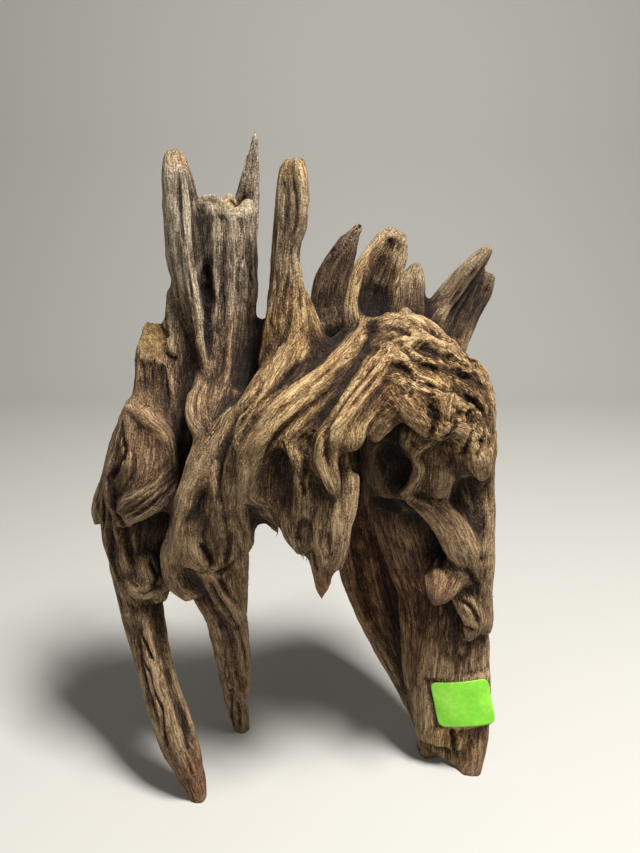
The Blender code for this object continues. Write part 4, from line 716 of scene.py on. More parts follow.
def skin_relief(places):
    """Height of the whole relief, blended where two roots meet."""
    outside, grain = all_nearness(places)
    order, weight = two_nearest(outside)
    rows = np.arange(len(places))
    first, second = (relief(grain[rows, order[:, k]], places) for k in (0, 1))
    return first * weight + second * (1 - weight) + hood_wrinkles(places)


# Creases, wrinkles and splits
# Narrow grooves that the roots alone don't give. Each line has its depth, its half width and
# points on the skin, and a negative depth raises a ridge instead.

CREASES = [
    # on the hood and the strand beside it
    (2.2, 3.0, (68, -16, 303), (78, -16, 299), (89, -10, 293), (99, -12, 284)),
    (2.4, 3.0, (54, -33, 298), (64, -38, 291), (74, -36, 286), (89, -23, 280), (102, -19, 273)),
    (2.0, 2.6, (81, -25, 291), (90, -22, 286), (101, -18, 277)),
    (2.6, 3.0, (63, -45, 281), (73, -45, 279), (85, -39, 274), (94, -32, 268), (102, -27, 261)),
    (2.5, 3.0, (52, -41, 290), (56, -42, 287), (62, -45, 282)),
    (1.8, 2.5, (48, -16, 302), (55, -17, 303), (61, -29, 302)),
    (2.5, 2.4, (95, -30, 270), (96, -35, 263), (93, -40, 258)),
    (2.0, 2.2, (97, -39, 249), (106, -28, 242)),
    (2.0, 1.5, (60, -46, 278), (59, -48, 274)),
    (3.0, 2.4, (80, -41, 267), (79, -45, 260)),
    (2.5, 2.2, (91, -39, 265), (92, -41, 258)),
    (2.2, 2.2, (70, -44, 270), (70, -50, 264)),
    (2.6, 2.4, (42, -9, 305), (39, -19, 295), (33, -32, 285), (22, -46, 274), (15, -50, 265), (10, -49, 250)),
    (2.2, 2.0, (47, -35, 296), (39, -42, 288), (29, -50, 278), (21, -55, 267), (17, -59, 261),
     (18, -59, 250), (21, -57, 235)),
    (1.5, 1.8, (44, -44, 287), (36, -52, 279), (29, -56, 271)),
    (3.2, 2.2, (84, -43, 262), (82, -48, 256), (80, -48, 250), (78, -44, 245)),
    (2.6, 1.8, (93, -38, 257), (92, -43, 251), (90, -42, 245), (88, -38, 240)),
    (2.8, 2.0, (73, -45, 268), (72, -50, 261), (70, -49, 255), (69, -44, 250)),
    (2.4, 1.6, (100, -31, 252), (99, -37, 246), (97, -37, 240)),
    # on the sweeping sheets, the knee and the tongues
    (1.5, 2.2, (27, -28, 295), (17, -43, 287), (4, -53, 277), (-8, -58, 269), (-18, -58, 258)),
    (1.6, 2.2, (22, -39, 279), (12, -49, 273), (1, -54, 265), (-8, -58, 256), (-15, -54, 241)),
    (1.6, 2.0, (4, -31, 289), (-6, -39, 278), (-18, -46, 270), (-28, -47, 257)),
    (4.0, 3.4, (-16, -40, 280), (-21, -43, 272), (-30, -43, 261), (-34, -47, 251), (-37, -47, 241),
     (-39, -47, 230), (-39, -47, 218)),
    (1.5, 2.0, (-45, -43, 225), (-50, -40, 215), (-53, -40, 208)),
    (2.0, 2.4, (-37, -45, 211), (-36, -41, 198), (-36, -35, 186), (-41, -30, 168)),
    (1.3, 2.2, (-63, -31, 168), (-50, -35, 168), (-41, -29, 167), (-32, -31, 177)),
    (2.2, 2.2, (-52, -37, 188), (-47, -34, 175), (-50, -35, 169)),
    (2.8, 2.2, (-49, -32, 162), (-47, -25, 148), (-42, -17, 132), (-39, -8, 112)),
    (1.6, 1.8, (-45, -31, 164), (-40, -21, 148), (-34, -18, 135)),
    (2.2, 2.2, (7, -52, 249), (6, -54, 235), (6, -52, 221)),
    (1.2, 1.6, (9, -46, 189), (12, -45, 176)),
    (1.1, 1.6, (18, -49, 200), (20, -48, 185)),
    (1.8, 1.8, (3, -46, 204), (2, -45, 194)),
    # on the stump and the horn
    (5.5, 3.0, (-47, 0, 337), (-47, -3, 322), (-47, -6, 309), (-46, -10, 299), (-45, -13, 288)),
    (0.8, 1.6, (-37, -2, 363), (-37, -3, 343), (-39, -5, 323), (-41, -7, 301)),
    (0.8, 1.6, (-28, -6, 363), (-28, -8, 339), (-29, -8, 312), (-31, -10, 291)),
    (0.8, 1.6, (-23, -2, 360), (-23, -3, 333), (-25, -4, 301)),
    (0.9, 1.7, (-59, -4, 381), (-59, -6, 364), (-57, -7, 344), (-55, -8, 323), (-52, -10, 302)),
    (0.9, 1.6, (-54, 1, 373), (-53, -4, 356), (-51, -2, 337)),
    (0.9, 1.6, (0, -17, 383), (2, -19, 371), (2, -19, 361), (0, -18, 349), (-2, -19, 334), (-5, -20, 319),
     (-6, -22, 304)),
    (6.0, 3.4, (-41, -6, 369), (-41, -2, 369), (-41, 5, 370), (-40, 13, 370)),
    (2.5, 1.6, (-36, -6, 370), (-36, 0, 370), (-37, 8, 371)),
    (2.2, 6.0, (11, -14, 384), (11, -14, 370), (10, -14, 354)),
    (5.0, 4.2, (-31, -8, 369), (-30, -2, 369), (-28, 5, 369), (-28, 12, 369)),
    # on the blades
    (1.2, 1.6, (108, 40, 332), (99, 38, 320), (91, 36, 308)),
    (1.4, 1.6, (106, 42, 317), (98, 40, 303), (94, 38, 294)),
    (0.8, 1.6, (119, 48, 323), (111, 43, 311), (104, 40, 298)),
    (5.0, 11, (55, 6, 350), (50, 4, 338), (46, 3, 324), (44, 2, 308)),
    # on the stub and the belly
    (2.6, 1.3, (-73.5, 9, 303), (-72.5, 4, 295), (-73.5, -1.5, 287)),
    (4.0, 2.6, (-96, -16, 245), (-94, -22, 236), (-99, -18, 227), (-106, -15, 217)),
    (2.5, 2.2, (-102, -15, 229), (-105, -15, 213), (-104, -16, 197), (-100, -20, 191), (-99, -11, 169),
     (-98, -12, 156)),
    (1.3, 1.4, (-66, -22, 220), (-73, -27, 213), (-83, -28, 205), (-96, -23, 196)),
    (1.3, 1.4, (-67, -22, 222), (-76, -28, 216), (-85, -28, 209), (-97, -22, 199)),
    (1.3, 1.4, (-68, -22, 225), (-76, -28, 219), (-86, -29, 212), (-97, -23, 204)),
    (3.0, 2.2, (-114, -6, 212), (-116, 0, 200), (-117, -1, 190), (-117, -2, 181)),
    (2.2, 2.0, (-97, -17, 144), (-89, -19, 146), (-80, -16, 150)),
    (2.0, 2.0, (-88, -11, 163), (-84, -14, 154), (-87, -18, 147)),
    # splits and flutes of the left legs
    (2.6, 1.4, (-96, -18, 119), (-92, -23, 111), (-88, -25, 103)),
    (3.0, 1.4, (-96, -20, 102), (-90, -26, 95), (-87, -28, 84), (-83, -31, 72), (-82, -32, 58),
     (-81, -33, 46)),
    (2.0, 1.4, (-70, -35, 42), (-67, -35, 31), (-65, -34, 22)),
    (1.5, 2.6, (-72, -23, 63), (-70, -27, 50), (-67, -32, 39)),
    (2.0, 1.8, (-47, 16, 49), (-49, 30, 6)),
    (2.0, 1.8, (-43, 20, 35), (-44, 27, 7)),
    (2.0, 2.0, (-38, -13, 123), (-36, 2, 91), (-36, 15, 61)),
    # in the hollow and on the right leg
    (-1.6, 2.4, (75, -37, 249), (65, -35, 239), (69, -33, 230), (63, -28, 214), (76, -26, 205)),
    (-1.6, 2.0, (84, -26, 226), (88, -24, 219), (87, -22, 212)),
    (3.0, 3.0, (75, -22, 211), (81, -21, 211)),
    (4.5, 3.0, (96, -10, 191), (102, -12, 178), (105, -18, 170)),
    (2.5, 1.8, (87, -17, 163), (87, -20, 154)),
    (2.2, 2.0, (98, -17, 140), (106, -20, 134), (110, -20, 124)),
    (2.2, 2.0, (98, -14, 122), (103, -18, 121), (108, -19, 119)),
    (2.5, 2.2, (99, -23, 165), (107, -19, 151)),
    (3.0, 1.7, (101, -9, 39), (104, -4, 16)),
]
CREASE_REACH = 7.0
CREASE_VARIETY = 0.6
CREASE_FADING = 5
CREASE_END_DEPTH = 0.25
LIP_PLACE = 1.9
LIP_WIDTH = 0.7
LIP_HEIGHT = 0.16


def carve(places, normals):
    """How far each place sinks into the creases near it, in millimetres.

    A crease is a smooth trough that fades out at both ends, varies in depth, and has a low lip
    along either side. It works only on the surface that it was laid on.
    """
    sunk = np.zeros(len(places))
    for depth, half, *spots in CREASES:
        line = spline(np.array(spots, float), 1.0)
        run = np.linspace(0, 1, len(line))
        fading = np.minimum(1, CREASE_FADING * np.minimum(run, 1 - run) + CREASE_END_DEPTH)
        strength = depth * fading * (1 + CREASE_VARIETY * noise(line / 7, 14))
        reach = CREASE_REACH + 3 * half
        close = ((places > line.min(axis=0) - reach) & (places < line.max(axis=0) + reach)).all(axis=1)
        close = np.flatnonzero(close)
        near = places[close]
        nearest = squared_gaps(near, line).argmin(axis=1)
        offset = near - line[nearest]
        lift = (offset * normals[close]).sum(axis=1)
        aside = np.sqrt(np.maximum((offset ** 2).sum(axis=1) - lift ** 2, 0)) / half
        lips = LIP_HEIGHT * np.exp(-((aside - LIP_PLACE) / LIP_WIDTH) ** 2)
        shape = np.maximum(1 - aside ** 2, 0) ** 2 - lips
        shape[np.abs(lift) > CREASE_REACH] = 0
        sunk[close] += strength[nearest] * shape
    return sunk


places, normals = points_of(skin), unit(neighbour_mean(skin, normals_of(skin), 2))
set_points(skin, places - carve(places, normals)[:, None] * normals)
places = points_of(skin)
height = skin_relief(places)
set_points(skin, places + height[:, None] * normals_of(skin))

# The sawn end
# The short stub on the left was cut off with a saw, which left a flat oval face of fresh wood
# with a slightly torn surface and a rounded rim.

SAWN_WIDTH = 7.6
SAWN_HEIGHT = 11.8
SAWN_ROUGHNESS = 0.25
SAWN_ROUNDING = 2.2


def over_cut(places):
    """Distance of each place above the plane of the saw cut."""
    return (places - SAWN_POINT) @ SAWN_FACING


def beyond_oval(places):
    """Distance from the middle of the saw cut, where 1 is the rim of its oval face."""
    level = unit(np.cross((0, 0, 1), SAWN_FACING))
    return np.hypot((places - SAWN_POINT) @ level / SAWN_WIDTH,
                    (places - SAWN_POINT) @ np.cross(SAWN_FACING, level) / SAWN_HEIGHT)


places = points_of(skin)
above, oval = over_cut(places), beyond_oval(places)
on_cut = (oval < 2) & (np.abs(above) < 2) & (normals_of(skin) @ SAWN_FACING > 0.75)
rounding = SAWN_ROUNDING * np.clip(oval[on_cut] - 0.95, 0, 1) ** 1.3
level = SAWN_ROUGHNESS * noise(places[on_cut] / 1.6, 11) - rounding
places[on_cut] += (level - above[on_cut])[:, None] * SAWN_FACING
set_points(skin, places)

# The label's bed
# The wood under the label is worn nearly flat. Its bed follows the label's own curve, with the
# finest furrows left under the paper, and fades into the leg around it.

LABEL_WIDTH = 37.0
LABEL_HEIGHT = 33.0
LABEL_CENTRE = (106.3, -10.4, 58.5)
LABEL_TURN = 13.0
LABEL_FACING = -11.0
LABEL_LEAN = 3.0
LABEL_BEND = 70.0
LABEL_GAP = 0.2
BED_FURROWS = 0.25
BED_FADING = 5
BED_DEPTH = 9


def label_frame():
    """Axes of the label: across its width, up its height, and the way it faces."""
    facing = Matrix.Rotation(math.radians(LABEL_FACING), 3, "Z")
    leaning = facing @ Matrix.Rotation(math.radians(-LABEL_LEAN), 3, "X")
    turned = leaning @ Matrix.Rotation(math.radians(-LABEL_TURN), 3, "Y")
    return [np.array(turned @ Vector(axis)) for axis in ((1, 0, 0), (0, 0, 1), (0, -1, 0))]


def label_sheet(across, up, lift):
    """Points of the label's sheet, bent round an upright cylinder and lifted off it."""
    right, top, front = label_frame()
    sideways = across * math.cos(math.radians(LABEL_TURN))
    bend = LABEL_BEND - np.sqrt(np.maximum(LABEL_BEND ** 2 - sideways ** 2, 0))
    return (np.array(LABEL_CENTRE) + across[..., None] * right + up[..., None] * top
            + (lift - bend)[..., None] * front)


right, top, front = label_frame()
across, up = (places - LABEL_CENTRE) @ right, (places - LABEL_CENTRE) @ top
furrows = BED_FURROWS * np.abs(drawn_out((across, up, up * 0), (2, 16, 1), 12))
depth = (places - label_sheet(across, up, -LABEL_GAP - furrows)) @ front
inside = np.maximum(np.abs(across) - LABEL_WIDTH / 2, np.abs(up) - LABEL_HEIGHT / 2)
weight = np.clip(1 - (inside - 0.5) / BED_FADING, 0, 1)
weight = weight * weight * (3 - 2 * weight)
weight[(np.abs(depth) > BED_DEPTH) | (normals_of(skin) @ front < 0.1)] = 0
set_points(skin, places - (weight * depth)[:, None] * front)

# The finished mesh and its feet
# The skin is thinned to just under the 200,000 triangles that one exported piece may have. The three
# feet are cut level with the floor and closed, because the trunk stands on them.

SKIN_TRIANGLES = 196000

skin = with_modifier(skin, "TRIANGULATE")
if len(skin.polygons) > SKIN_TRIANGLES:
    skin = with_modifier(skin, "DECIMATE", ratio=SKIN_TRIANGLES / len(skin.polygons))
feet = bmesh.new()
feet.from_mesh(skin)
bmesh.ops.bisect_plane(feet, geom=feet.verts[:] + feet.edges[:] + feet.faces[:], dist=1e-6,
                       plane_co=(0, 0, 0), plane_no=(0, 0, 1), clear_inner=True)
bmesh.ops.holes_fill(feet, edges=[edge for edge in feet.edges if edge.is_boundary], sides=0)
bmesh.ops.triangulate(feet, faces=feet.faces)
feet.to_mesh(skin)
feet.free()

# What the finish reads from the skin
# Grain coordinates go on the corners of faces. The vertices carry how hollow the place is and how
# hidden from the sky, both painted as shade, and where the wood is grey, golden, red or freshly sawn.

places, normals = points_of(skin), normals_of(skin)
corner_vertex = np.empty(len(skin.loops), np.int32)
skin.loops.foreach_get("vertex_index", corner_vertex)
outside, grain = all_nearness(places)
face_order, _ = two_nearest(outside[corner_vertex.reshape(-1, 3)].mean(axis=1))
nearest, second = np.repeat(face_order, 3, axis=0).T
lead = outside[corner_vertex, second] - outside[corner_vertex, nearest]


def store(name, kind, domain, values, mesh=skin):
    """Keeps values as an attribute of the mesh, for its finish to read."""
    layer = mesh.attributes.new(name, kind, domain)
    slot = "vector" if kind == "FLOAT_VECTOR" else "value"
    layer.data.foreach_set(slot, np.asarray(values, np.float32).ravel())


store("grain_a", "FLOAT_VECTOR", "CORNER", grain[corner_vertex, nearest])
store("grain_b", "FLOAT_VECTOR", "CORNER", grain[corner_vertex, second])
store("grain_mix", "FLOAT", "CORNER", np.clip(0.5 + lead / (2 * GRAIN_BLEND), 0, 1))

# How hollow a place is: how far the smoothed skin lies outside it, at three scales. The finish paints
# shade with it in creases and hollows. The fibres below still need the widest scale on its own, which is kept
# in sunken.
hollow = np.zeros(len(places))
for rounds, size in ((4, 0.5), (30, 1.6), (160, 5.0)):
    smooth = neighbour_mean(skin, places, rounds)
    sunken = ((smooth - places) * normals).sum(axis=1) / size
    hollow += sunken
store("hollow", "FLOAT", "POINT", np.clip(0.5 + hollow * 0.25, 0, 1))

# How hidden a place is from a mostly upper sky, which the finish paints as shade: rays go out and step
# through cells that the skin fills
CELL = 3.0
CELL_COUNTS = (110, 80, 160)
CELL_MARGIN = 8
SKY_RAYS = 26
SKY_LEAN = (0, -0.1, 0.45)
SKY_REACH = 60.0
SKY_STEPS = (52, 43, 35, 28, 22, 17, 13, 9.5, 6.5)
SKIN_CLEARANCE = 4.5

filled = np.zeros(CELL_COUNTS, bool)
corner = places.min(axis=0) - CELL_MARGIN * CELL
filled[tuple(((places - corner) / CELL).astype(int).T)] = True
hidden = np.zeros(len(places))
for direction in unit(rng.normal(size=(SKY_RAYS, 3)) + SKY_LEAN):
    outward = np.where((normals @ direction) > 0, 1.0, -1.0)[:, None] * direction
    seen = np.full(len(places), SKY_REACH)
    for distance in SKY_STEPS:
        cell = ((places + SKIN_CLEARANCE * normals + distance * outward - corner) / CELL).astype(int)
        cell = np.clip(cell, 0, np.array(CELL_COUNTS) - 1)
        seen[filled[tuple(cell.T)]] = distance
    hidden += (1 - seen / SKY_REACH) / SKY_RAYS
hidden = neighbour_mean(skin, hidden[:, None], 4)[:, 0]


def patch(*spots):
    """How far each place lies within any of the given spots (x, y, z, radius), from 0 to 1."""
    amount = np.zeros(len(places))
    for x, y, z, radius in spots:
        share = 1.6 - np.linalg.norm(places - (x, y, z), axis=1) / radius
        amount = np.maximum(amount, np.clip(share, 0, 1))
    return amount


# Painted shade: more shade is painted behind the blades, deep in the hollow, under the hood and on the belly,
# where shadow falls.
shade_behind_blades = 0.5 * patch((24, 38, 325, 24), (106, 44, 310, 20), (70, 34, 305, 16))
shade_in_hollow = 0.6 * patch((50, -14, 240, 20), (48, -8, 216, 22), (52, 0, 192, 24), (64, -18, 248, 14),
                        (80, -22, 234, 15), (78, -18, 214, 16))
shade_under_hood = 0.38 * patch((86, -26, 232, 12), (40, 4, 188, 24), (42, 6, 155, 24), (48, 8, 120, 20))
shade_on_belly = 0.29 * patch((-96, -12, 212, 26), (-88, -14, 180, 24), (-70, -8, 240, 22))
hidden = np.maximum(hidden, shade_behind_blades)
hidden = np.maximum(hidden, shade_in_hollow * np.clip(hidden * 6, 0, 1))
hidden = np.maximum(np.maximum(hidden, shade_under_hood), shade_on_belly)
store("hidden", "FLOAT", "POINT", hidden)

# The stump is bleached grey, the hood and the horn are golden, and a few fresher places are red
grey = np.clip((places[:, 2] - 285) / 50, 0, 1) * np.clip((-8 - places[:, 0]) / 16, 0.25, 1)
golden = patch((65, -25, 285, 45), (10, -45, 270, 35), (0, -20, 300, 25), (95, -20, 250, 25),
               (40, 10, 330, 25), (100, -8, 26, 16))
tips = patch((-60, 0, 396, 9), (3, -16, 386, 9), (-34, 0, 372, 9))
red = patch((84, -20, 150, 12), (60, 40, 130, 45), (-10, -10, 230, 25), (15, -38, 160, 16),
            (-63, -36, 18, 20))
store("tones", "FLOAT_VECTOR", "POINT", np.stack([grey, np.maximum(golden, 0.7 * tips), red], axis=1))
store("sawn", "FLOAT", "POINT", (beyond_oval(places) < 1.05) & (np.abs(over_cut(places)) < 0.8))

# From the roots' own frame to the model's
SHIFT = np.array((-0.53, -11.83, 0))
set_points(skin, places + SHIFT)
skin.shade_smooth()
trunk = shown("trunk_skin", skin)
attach(trunk, "root")
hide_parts("wood_trunk")

# Weathered driftwood
# Dry wood that sun and water have bleached and worn: dull, open-pored and fibrous, with painted shade in
# the furrows, hollows and hidden places, and pale worn ridges. Its fibres and streaks run in the grain's own
# coordinates.


def colour(code):
    """Linear colour from an sRGB hex code."""
    parts = [int(code[i:i + 2], 16) / 255 for i in (1, 3, 5)]
    return tuple(c / 12.92 if c <= 0.04045 else ((c + 0.055) / 1.055) ** 2.4 for c in parts) + (1.0,)


def set_inputs(material, node, inputs):
    """Gives a node's inputs their values, or links them to other nodes' outputs."""
    for key, value in inputs.items():
        if isinstance(value, bpy.types.NodeSocket):
            material.node_tree.links.new(value, node.inputs[key])
        else:
            node.inputs[key].default_value = value


def add_node(material, kind, inputs, output=0, stops=(), **settings):
    """Adds a node with its inputs, settings and colour stops, and gives one of its outputs."""
    node = material.node_tree.nodes.new("ShaderNode" + kind)
    for name, value in settings.items():
        setattr(node, name, value)
    for _ in stops[2:]:
        node.color_ramp.elements.new(0.5)
    for i, (place, code) in enumerate(stops):
        node.color_ramp.elements[i].position = place
        node.color_ramp.elements[i].color = colour(code)
    set_inputs(material, node, inputs)
    return node.outputs[output]


def weighed_up(material, total, *parts):
    """A total with patterns added to it, each stretched from its own low and high to its share."""
    for pattern, low, high, share in parts:
        stretched = {"Value": pattern, "From Min": low, "From Max": high, "To Max": share}
        total = add_node(material, "Math", {0: add_node(material, "MapRange", stretched), 1: total})
    return total


def new_material(name):
    """A material and its surface shader."""
    material = bpy.data.materials.new(name)
    material.use_nodes = True
    return material, material.node_tree.nodes["Principled BSDF"]


def set_material(mesh, material):
    """Gives the whole mesh one material."""
    mesh.materials.clear()
    mesh.materials.append(material)


wood, wood_surface = new_material("weathered_driftwood")
place = add_node(wood, "TexCoord", {}, "Object")
on_skin = {name: add_node(wood, "Attribute", {}, output, attribute_name=name) for name, output in (
    ("grain_a", "Vector"), ("grain_b", "Vector"), ("grain_mix", "Fac"), ("hollow", "Fac"),
    ("hidden", "Fac"), ("tones", "Vector"), ("sawn", "Fac"))}


def along_grain(size, stretch, detail, roughness, distortion):
    """Noise drawn out along the grain, blended from one root's coordinates to the next one's.

    The size across the grain is in millimetres, and stretch says how many times longer it is.
    """
    patterns = []
    for name in ("grain_a", "grain_b"):
        shrink = (1 / size, 1 / size, 1 / (size * stretch))
        scaled = add_node(wood, "VectorMath", {0: on_skin[name], 1: shrink}, operation="MULTIPLY")
        patterns.append(add_node(wood, "TexNoise", {"Vector": scaled, "Scale": 1.0, "Detail": detail,
                                                    "Roughness": roughness, "Distortion": distortion}))
    return add_node(wood, "Mix", {0: on_skin["grain_mix"], 2: patterns[1], 3: patterns[0]}, data_type="FLOAT")


# Fibres are drawn as coarse as they need to be to show, at 0.85 mm, with streaks and bands of rings
fibres = along_grain(0.85, 11, 2.0, 0.7, 0.35)
streaks = along_grain(2.3, 12, 3.0, 0.6, 0.4)
bands = along_grain(7.5, 6, 2.0, 0.5, 0.4)
# Stains, weather patches, open pores and the saw's grit, by their size in millimetres
mottle, patches, pores, grit = (
    add_node(wood, "TexNoise", {"Vector": place, "Scale": 1 / (size * MM), "Detail": detail,
                                "Roughness": 0.6})
    for size, detail in ((23.81, 5.0), (83.33, 3.0), (0.95238, 2.0), (2.381, 4.0)))
off_streak = add_node(wood, "Math", {0: streaks, 1: 0.5}, operation="SUBTRACT")
off_streak = add_node(wood, "Math", {0: off_streak}, operation="ABSOLUTE")

# Painted shade: the hollow attribute darkens the wood in creases and hollows; the rest is the wood's own
# fibres, pores, streaks, bands and stains.
wear_and_hollow_shade = weighed_up(wood, 0.18, (fibres, 0.40, 0.60, 0.34), (pores, 0.40, 0.60, 0.20),
                  (streaks, 0.35, 0.65, 0.22), (bands, 0.3, 0.7, 0.14), (mottle, 0.3, 0.7, 0.26),
                  (on_skin["hollow"], 0.0, 1.0, -0.6))
# Each shade of the wood, from the darkest furrows to worn ridges. The shadow brown is painted shade, for
# places hidden from the sky and in deep hollows.
brown, grey_wood, gold, shadow_brown, reddish = (
    add_node(wood, "ValToRGB", {0: wear_and_hollow_shade}, stops=stops) for stops in (
        ((0.05, "#20160e"), (0.30, "#453424"), (0.50, "#6a5239"), (0.68, "#8a6f50"), (0.92, "#b09672")),
        ((0.05, "#261e17"), (0.30, "#584a3b"), (0.52, "#867460"), (0.70, "#ac9a81"), (0.92, "#d0c0a5")),
        ((0.05, "#22160c"), (0.30, "#4b361f"), (0.50, "#765834"), (0.68, "#9f7d4d"), (0.92, "#d1b281")),
        ((0.05, "#110b07"), (0.35, "#271b13"), (0.60, "#453224"), (0.92, "#71583f")),
        ((0.05, "#1f110b"), (0.35, "#4a2f1f"), (0.60, "#754f35"), (0.92, "#a8835f"))))
fresh = add_node(wood, "ValToRGB", {0: grit}, stops=((0.3, "#57402a"), (0.5, "#846841"), (0.7, "#b8975f")))
# Painted shade in the thin furrows along the grain
furrow_shade = colour("#20150c")
tone = add_node(wood, "SeparateXYZ", {0: on_skin["tones"]}).node.outputs
gold_patches = {"Value": patches, "From Min": 0.35, "From Max": 0.6, "To Min": 0.35, "To Max": 1.0}
gold_share = add_node(wood, "Math", {0: tone[1], 1: add_node(wood, "MapRange", gold_patches)},
                      operation="MULTIPLY")

# Each shade covers the ones before it, where its pattern goes from low to high
shade = brown
for cover, pattern, low, high, least, most in (
        (grey_wood, tone[0], 0.0, 1.0, 0.0, 0.9),
        (gold, gold_share, 0.0, 1.0, 0.0, 1.0),
        (reddish, tone[2], 0.0, 1.0, 0.0, 1.0),
        (reddish, patches, 0.53, 0.68, 0.0, 0.4),
        # painted shade: the shadow brown where the skin is hidden, and the furrow shade in the thin lines
        # along the grain
        (shadow_brown, on_skin["hidden"], 0.18, 0.48, 0.0, 0.95),
        (furrow_shade, off_streak, 0.0, 0.022, 0.5, 0.0),
        (fresh, on_skin["sawn"], 0.0, 1.0, 0.0, 1.0)):
    share = add_node(wood, "MapRange", {"Value": pattern, "From Min": low, "From Max": high,
                                        "To Min": least, "To Max": most})
    shade = add_node(wood, "Mix", {0: share, 6: shade, 7: cover}, 2, data_type="RGBA")
roughness = add_node(wood, "MapRange", {"Value": wear_and_hollow_shade, "To Min": 0.96, "To Max": 0.74})
raised = weighed_up(wood, 0.0, (fibres, 0.40, 0.60, 0.30), (streaks, 0.0, 1.0, 1.0), (bands, 0.0, 1.0, 0.5),
                    (off_streak, 0.0, 0.022, 0.22), (pores, 0.40, 0.60, 0.16))
bump = add_node(wood, "Bump", {"Strength": 1.0, "Distance": 1.5 * MM, "Height": raised})
set_inputs(wood, wood_surface, {"Base Color": shade, "Roughness": roughness, "Specular IOR Level": 0.25,
                                "Normal": bump})
set_material(skin, wood)

# Raised fibres
# Thin slivers of the same wood have come loose along the grain, mostly on the hood and the sheets
# beside it. Each one starts in the wood, bows up a little and tapers.

FIBRE_COUNT = 8000
FIBRE_RINGS = 4
FIBRE_SIDES = 3
FIBRE_STRAY = 0.28
FIBRE_ROOTING = 0.2
# Their lengths, thicknesses, rises and sideways curls, each from the least to the most
FIBRE_RANGES = ((2.2, 5.0), (0.20, 0.36), (0.05, 0.40), (-0.5, 0.5))
# They grow anywhere a little, but not on tips, where shade is painted, on the feet or by the label
FIBRES_ANYWHERE = 0.22
FIBRES_HEIGHT = 175
FIBRES_REACH = 145
TOO_DARK = 0.25
TOO_SHARP = -0.6

torn_hems = patch((24, -52, 224, 9), (4, -55, 226, 12), (-45, -40, 215, 20))
weight = (FIBRES_ANYWHERE + golden + 0.6 * torn_hems) * (hidden < TOO_DARK)
weight *= (np.abs(places[:, 2] - FIBRES_HEIGHT) < FIBRES_REACH) * (sunken > TOO_SHARP)
weight *= 1 - patch((*LABEL_CENTRE, 18))
chosen = rng.choice(len(places), FIBRE_COUNT, replace=False, p=weight / weight.sum())
start, out, owner = places[chosen], normals[chosen], outside[chosen].argmin(axis=1)
direction = FIBRE_STRAY * rng.normal(size=start.shape)
for k in np.unique(owner):
    centre, _, along, _, _ = path_of(ROOTS[k])
    mine = np.flatnonzero(owner == k)
    direction[mine] += along[((start[mine, None] - centre) ** 2).sum(axis=2).argmin(axis=1)]
direction = unit(direction - (direction * out).sum(axis=1)[:, None] * out)
direction *= rng.choice((-1, 1), FIBRE_COUNT)[:, None]
sideways = np.cross(direction, out)
length, thick, rise, curl = (rng.uniform(low, high, FIBRE_COUNT)[:, None, None]
                             for low, high in FIBRE_RANGES)
run = np.linspace(0, 1, FIBRE_RINGS)[None, :, None]
spine = (start[:, None] + run * length * direction[:, None]
         + (rise * run ** 1.5 - FIBRE_ROOTING) * out[:, None] + curl * run ** 2 * sideways[:, None])
turn = np.linspace(0, 2 * math.pi, FIBRE_SIDES, endpoint=False)
ring = np.cos(turn)[:, None] * sideways[:, None, None] + np.sin(turn)[:, None] * out[:, None, None]
slivers = spine[:, :, None] + (thick * np.sqrt(1.02 - run))[..., None] * ring
per_sliver = FIBRE_RINGS * FIBRE_SIDES
first = np.arange(FIBRE_COUNT)[:, None, None] * per_sliver
ends = np.array([(2, 1, 0), (per_sliver - 3, per_sliver - 2, per_sliver - 1)])
faces = (first + grid_faces(FIBRE_RINGS, FIBRE_SIDES, 0)).reshape(-1, 4).tolist()
faces += (first + ends).reshape(-1, 3).tolist()
loose = mesh_from("raised_fibres", slivers.reshape(-1, 3) + SHIFT, faces)
loose.shade_smooth()
store("hollow", "FLOAT", "POINT", np.repeat(rng.uniform(0.25, 0.85, FIBRE_COUNT), per_sliver), loose)
gilt = np.repeat(golden[chosen, None] * (0, 1, 0), per_sliver, axis=0)
store("tones", "FLOAT_VECTOR", "POINT", gilt, loose)
set_material(loose, wood)
fuzz = shown("raised_fibres", loose)
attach(fuzz, "root")

# The label
# A small green sheet of paper with round corners, stuck to the right leg and bent round it.
# It has crinkled a little over the furrows of the wood.

LABEL_CORNER = 4.5
LABEL_COLUMNS = 60
LABEL_ROWS = 40
LABEL_CRINKLE = 0.18
LABEL_LIFT = 0.12
LABEL_THICKNESS = 0.22

columns = np.linspace(-LABEL_WIDTH / 2, LABEL_WIDTH / 2, LABEL_COLUMNS)
beyond = np.maximum(np.abs(columns) - (LABEL_WIDTH / 2 - LABEL_CORNER), 0)
reach = LABEL_HEIGHT / 2 - LABEL_CORNER + np.sqrt(np.maximum(LABEL_CORNER ** 2 - beyond ** 2, 0.0))
across = np.repeat(columns[:, None], LABEL_ROWS, axis=1)
up = reach[:, None] * np.linspace(-1, 1, LABEL_ROWS)[None, :]
crinkle = drawn_out((across.ravel(), up.ravel(), across.ravel() * 0), (7, 9, 1), 13).reshape(across.shape)
sheet = label_sheet(across, up, LABEL_LIFT + LABEL_CRINKLE * crinkle).reshape(-1, 3) + SHIFT
i, j = np.meshgrid(np.arange(LABEL_COLUMNS - 1), np.arange(LABEL_ROWS - 1), indexing="ij")
low, high = i * LABEL_ROWS + j, (i + 1) * LABEL_ROWS + j
quads = np.stack([low, high, high + 1, low + 1], axis=-1).reshape(-1, 4)
paper = mesh_from("label_sheet", sheet, quads.tolist())
paper = with_modifier(paper, "SOLIDIFY", thickness=LABEL_THICKNESS * MM, offset=1.0)
paper.shade_smooth()
label = shown("label_sheet", paper)
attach(label, "root")
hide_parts("lot_label")

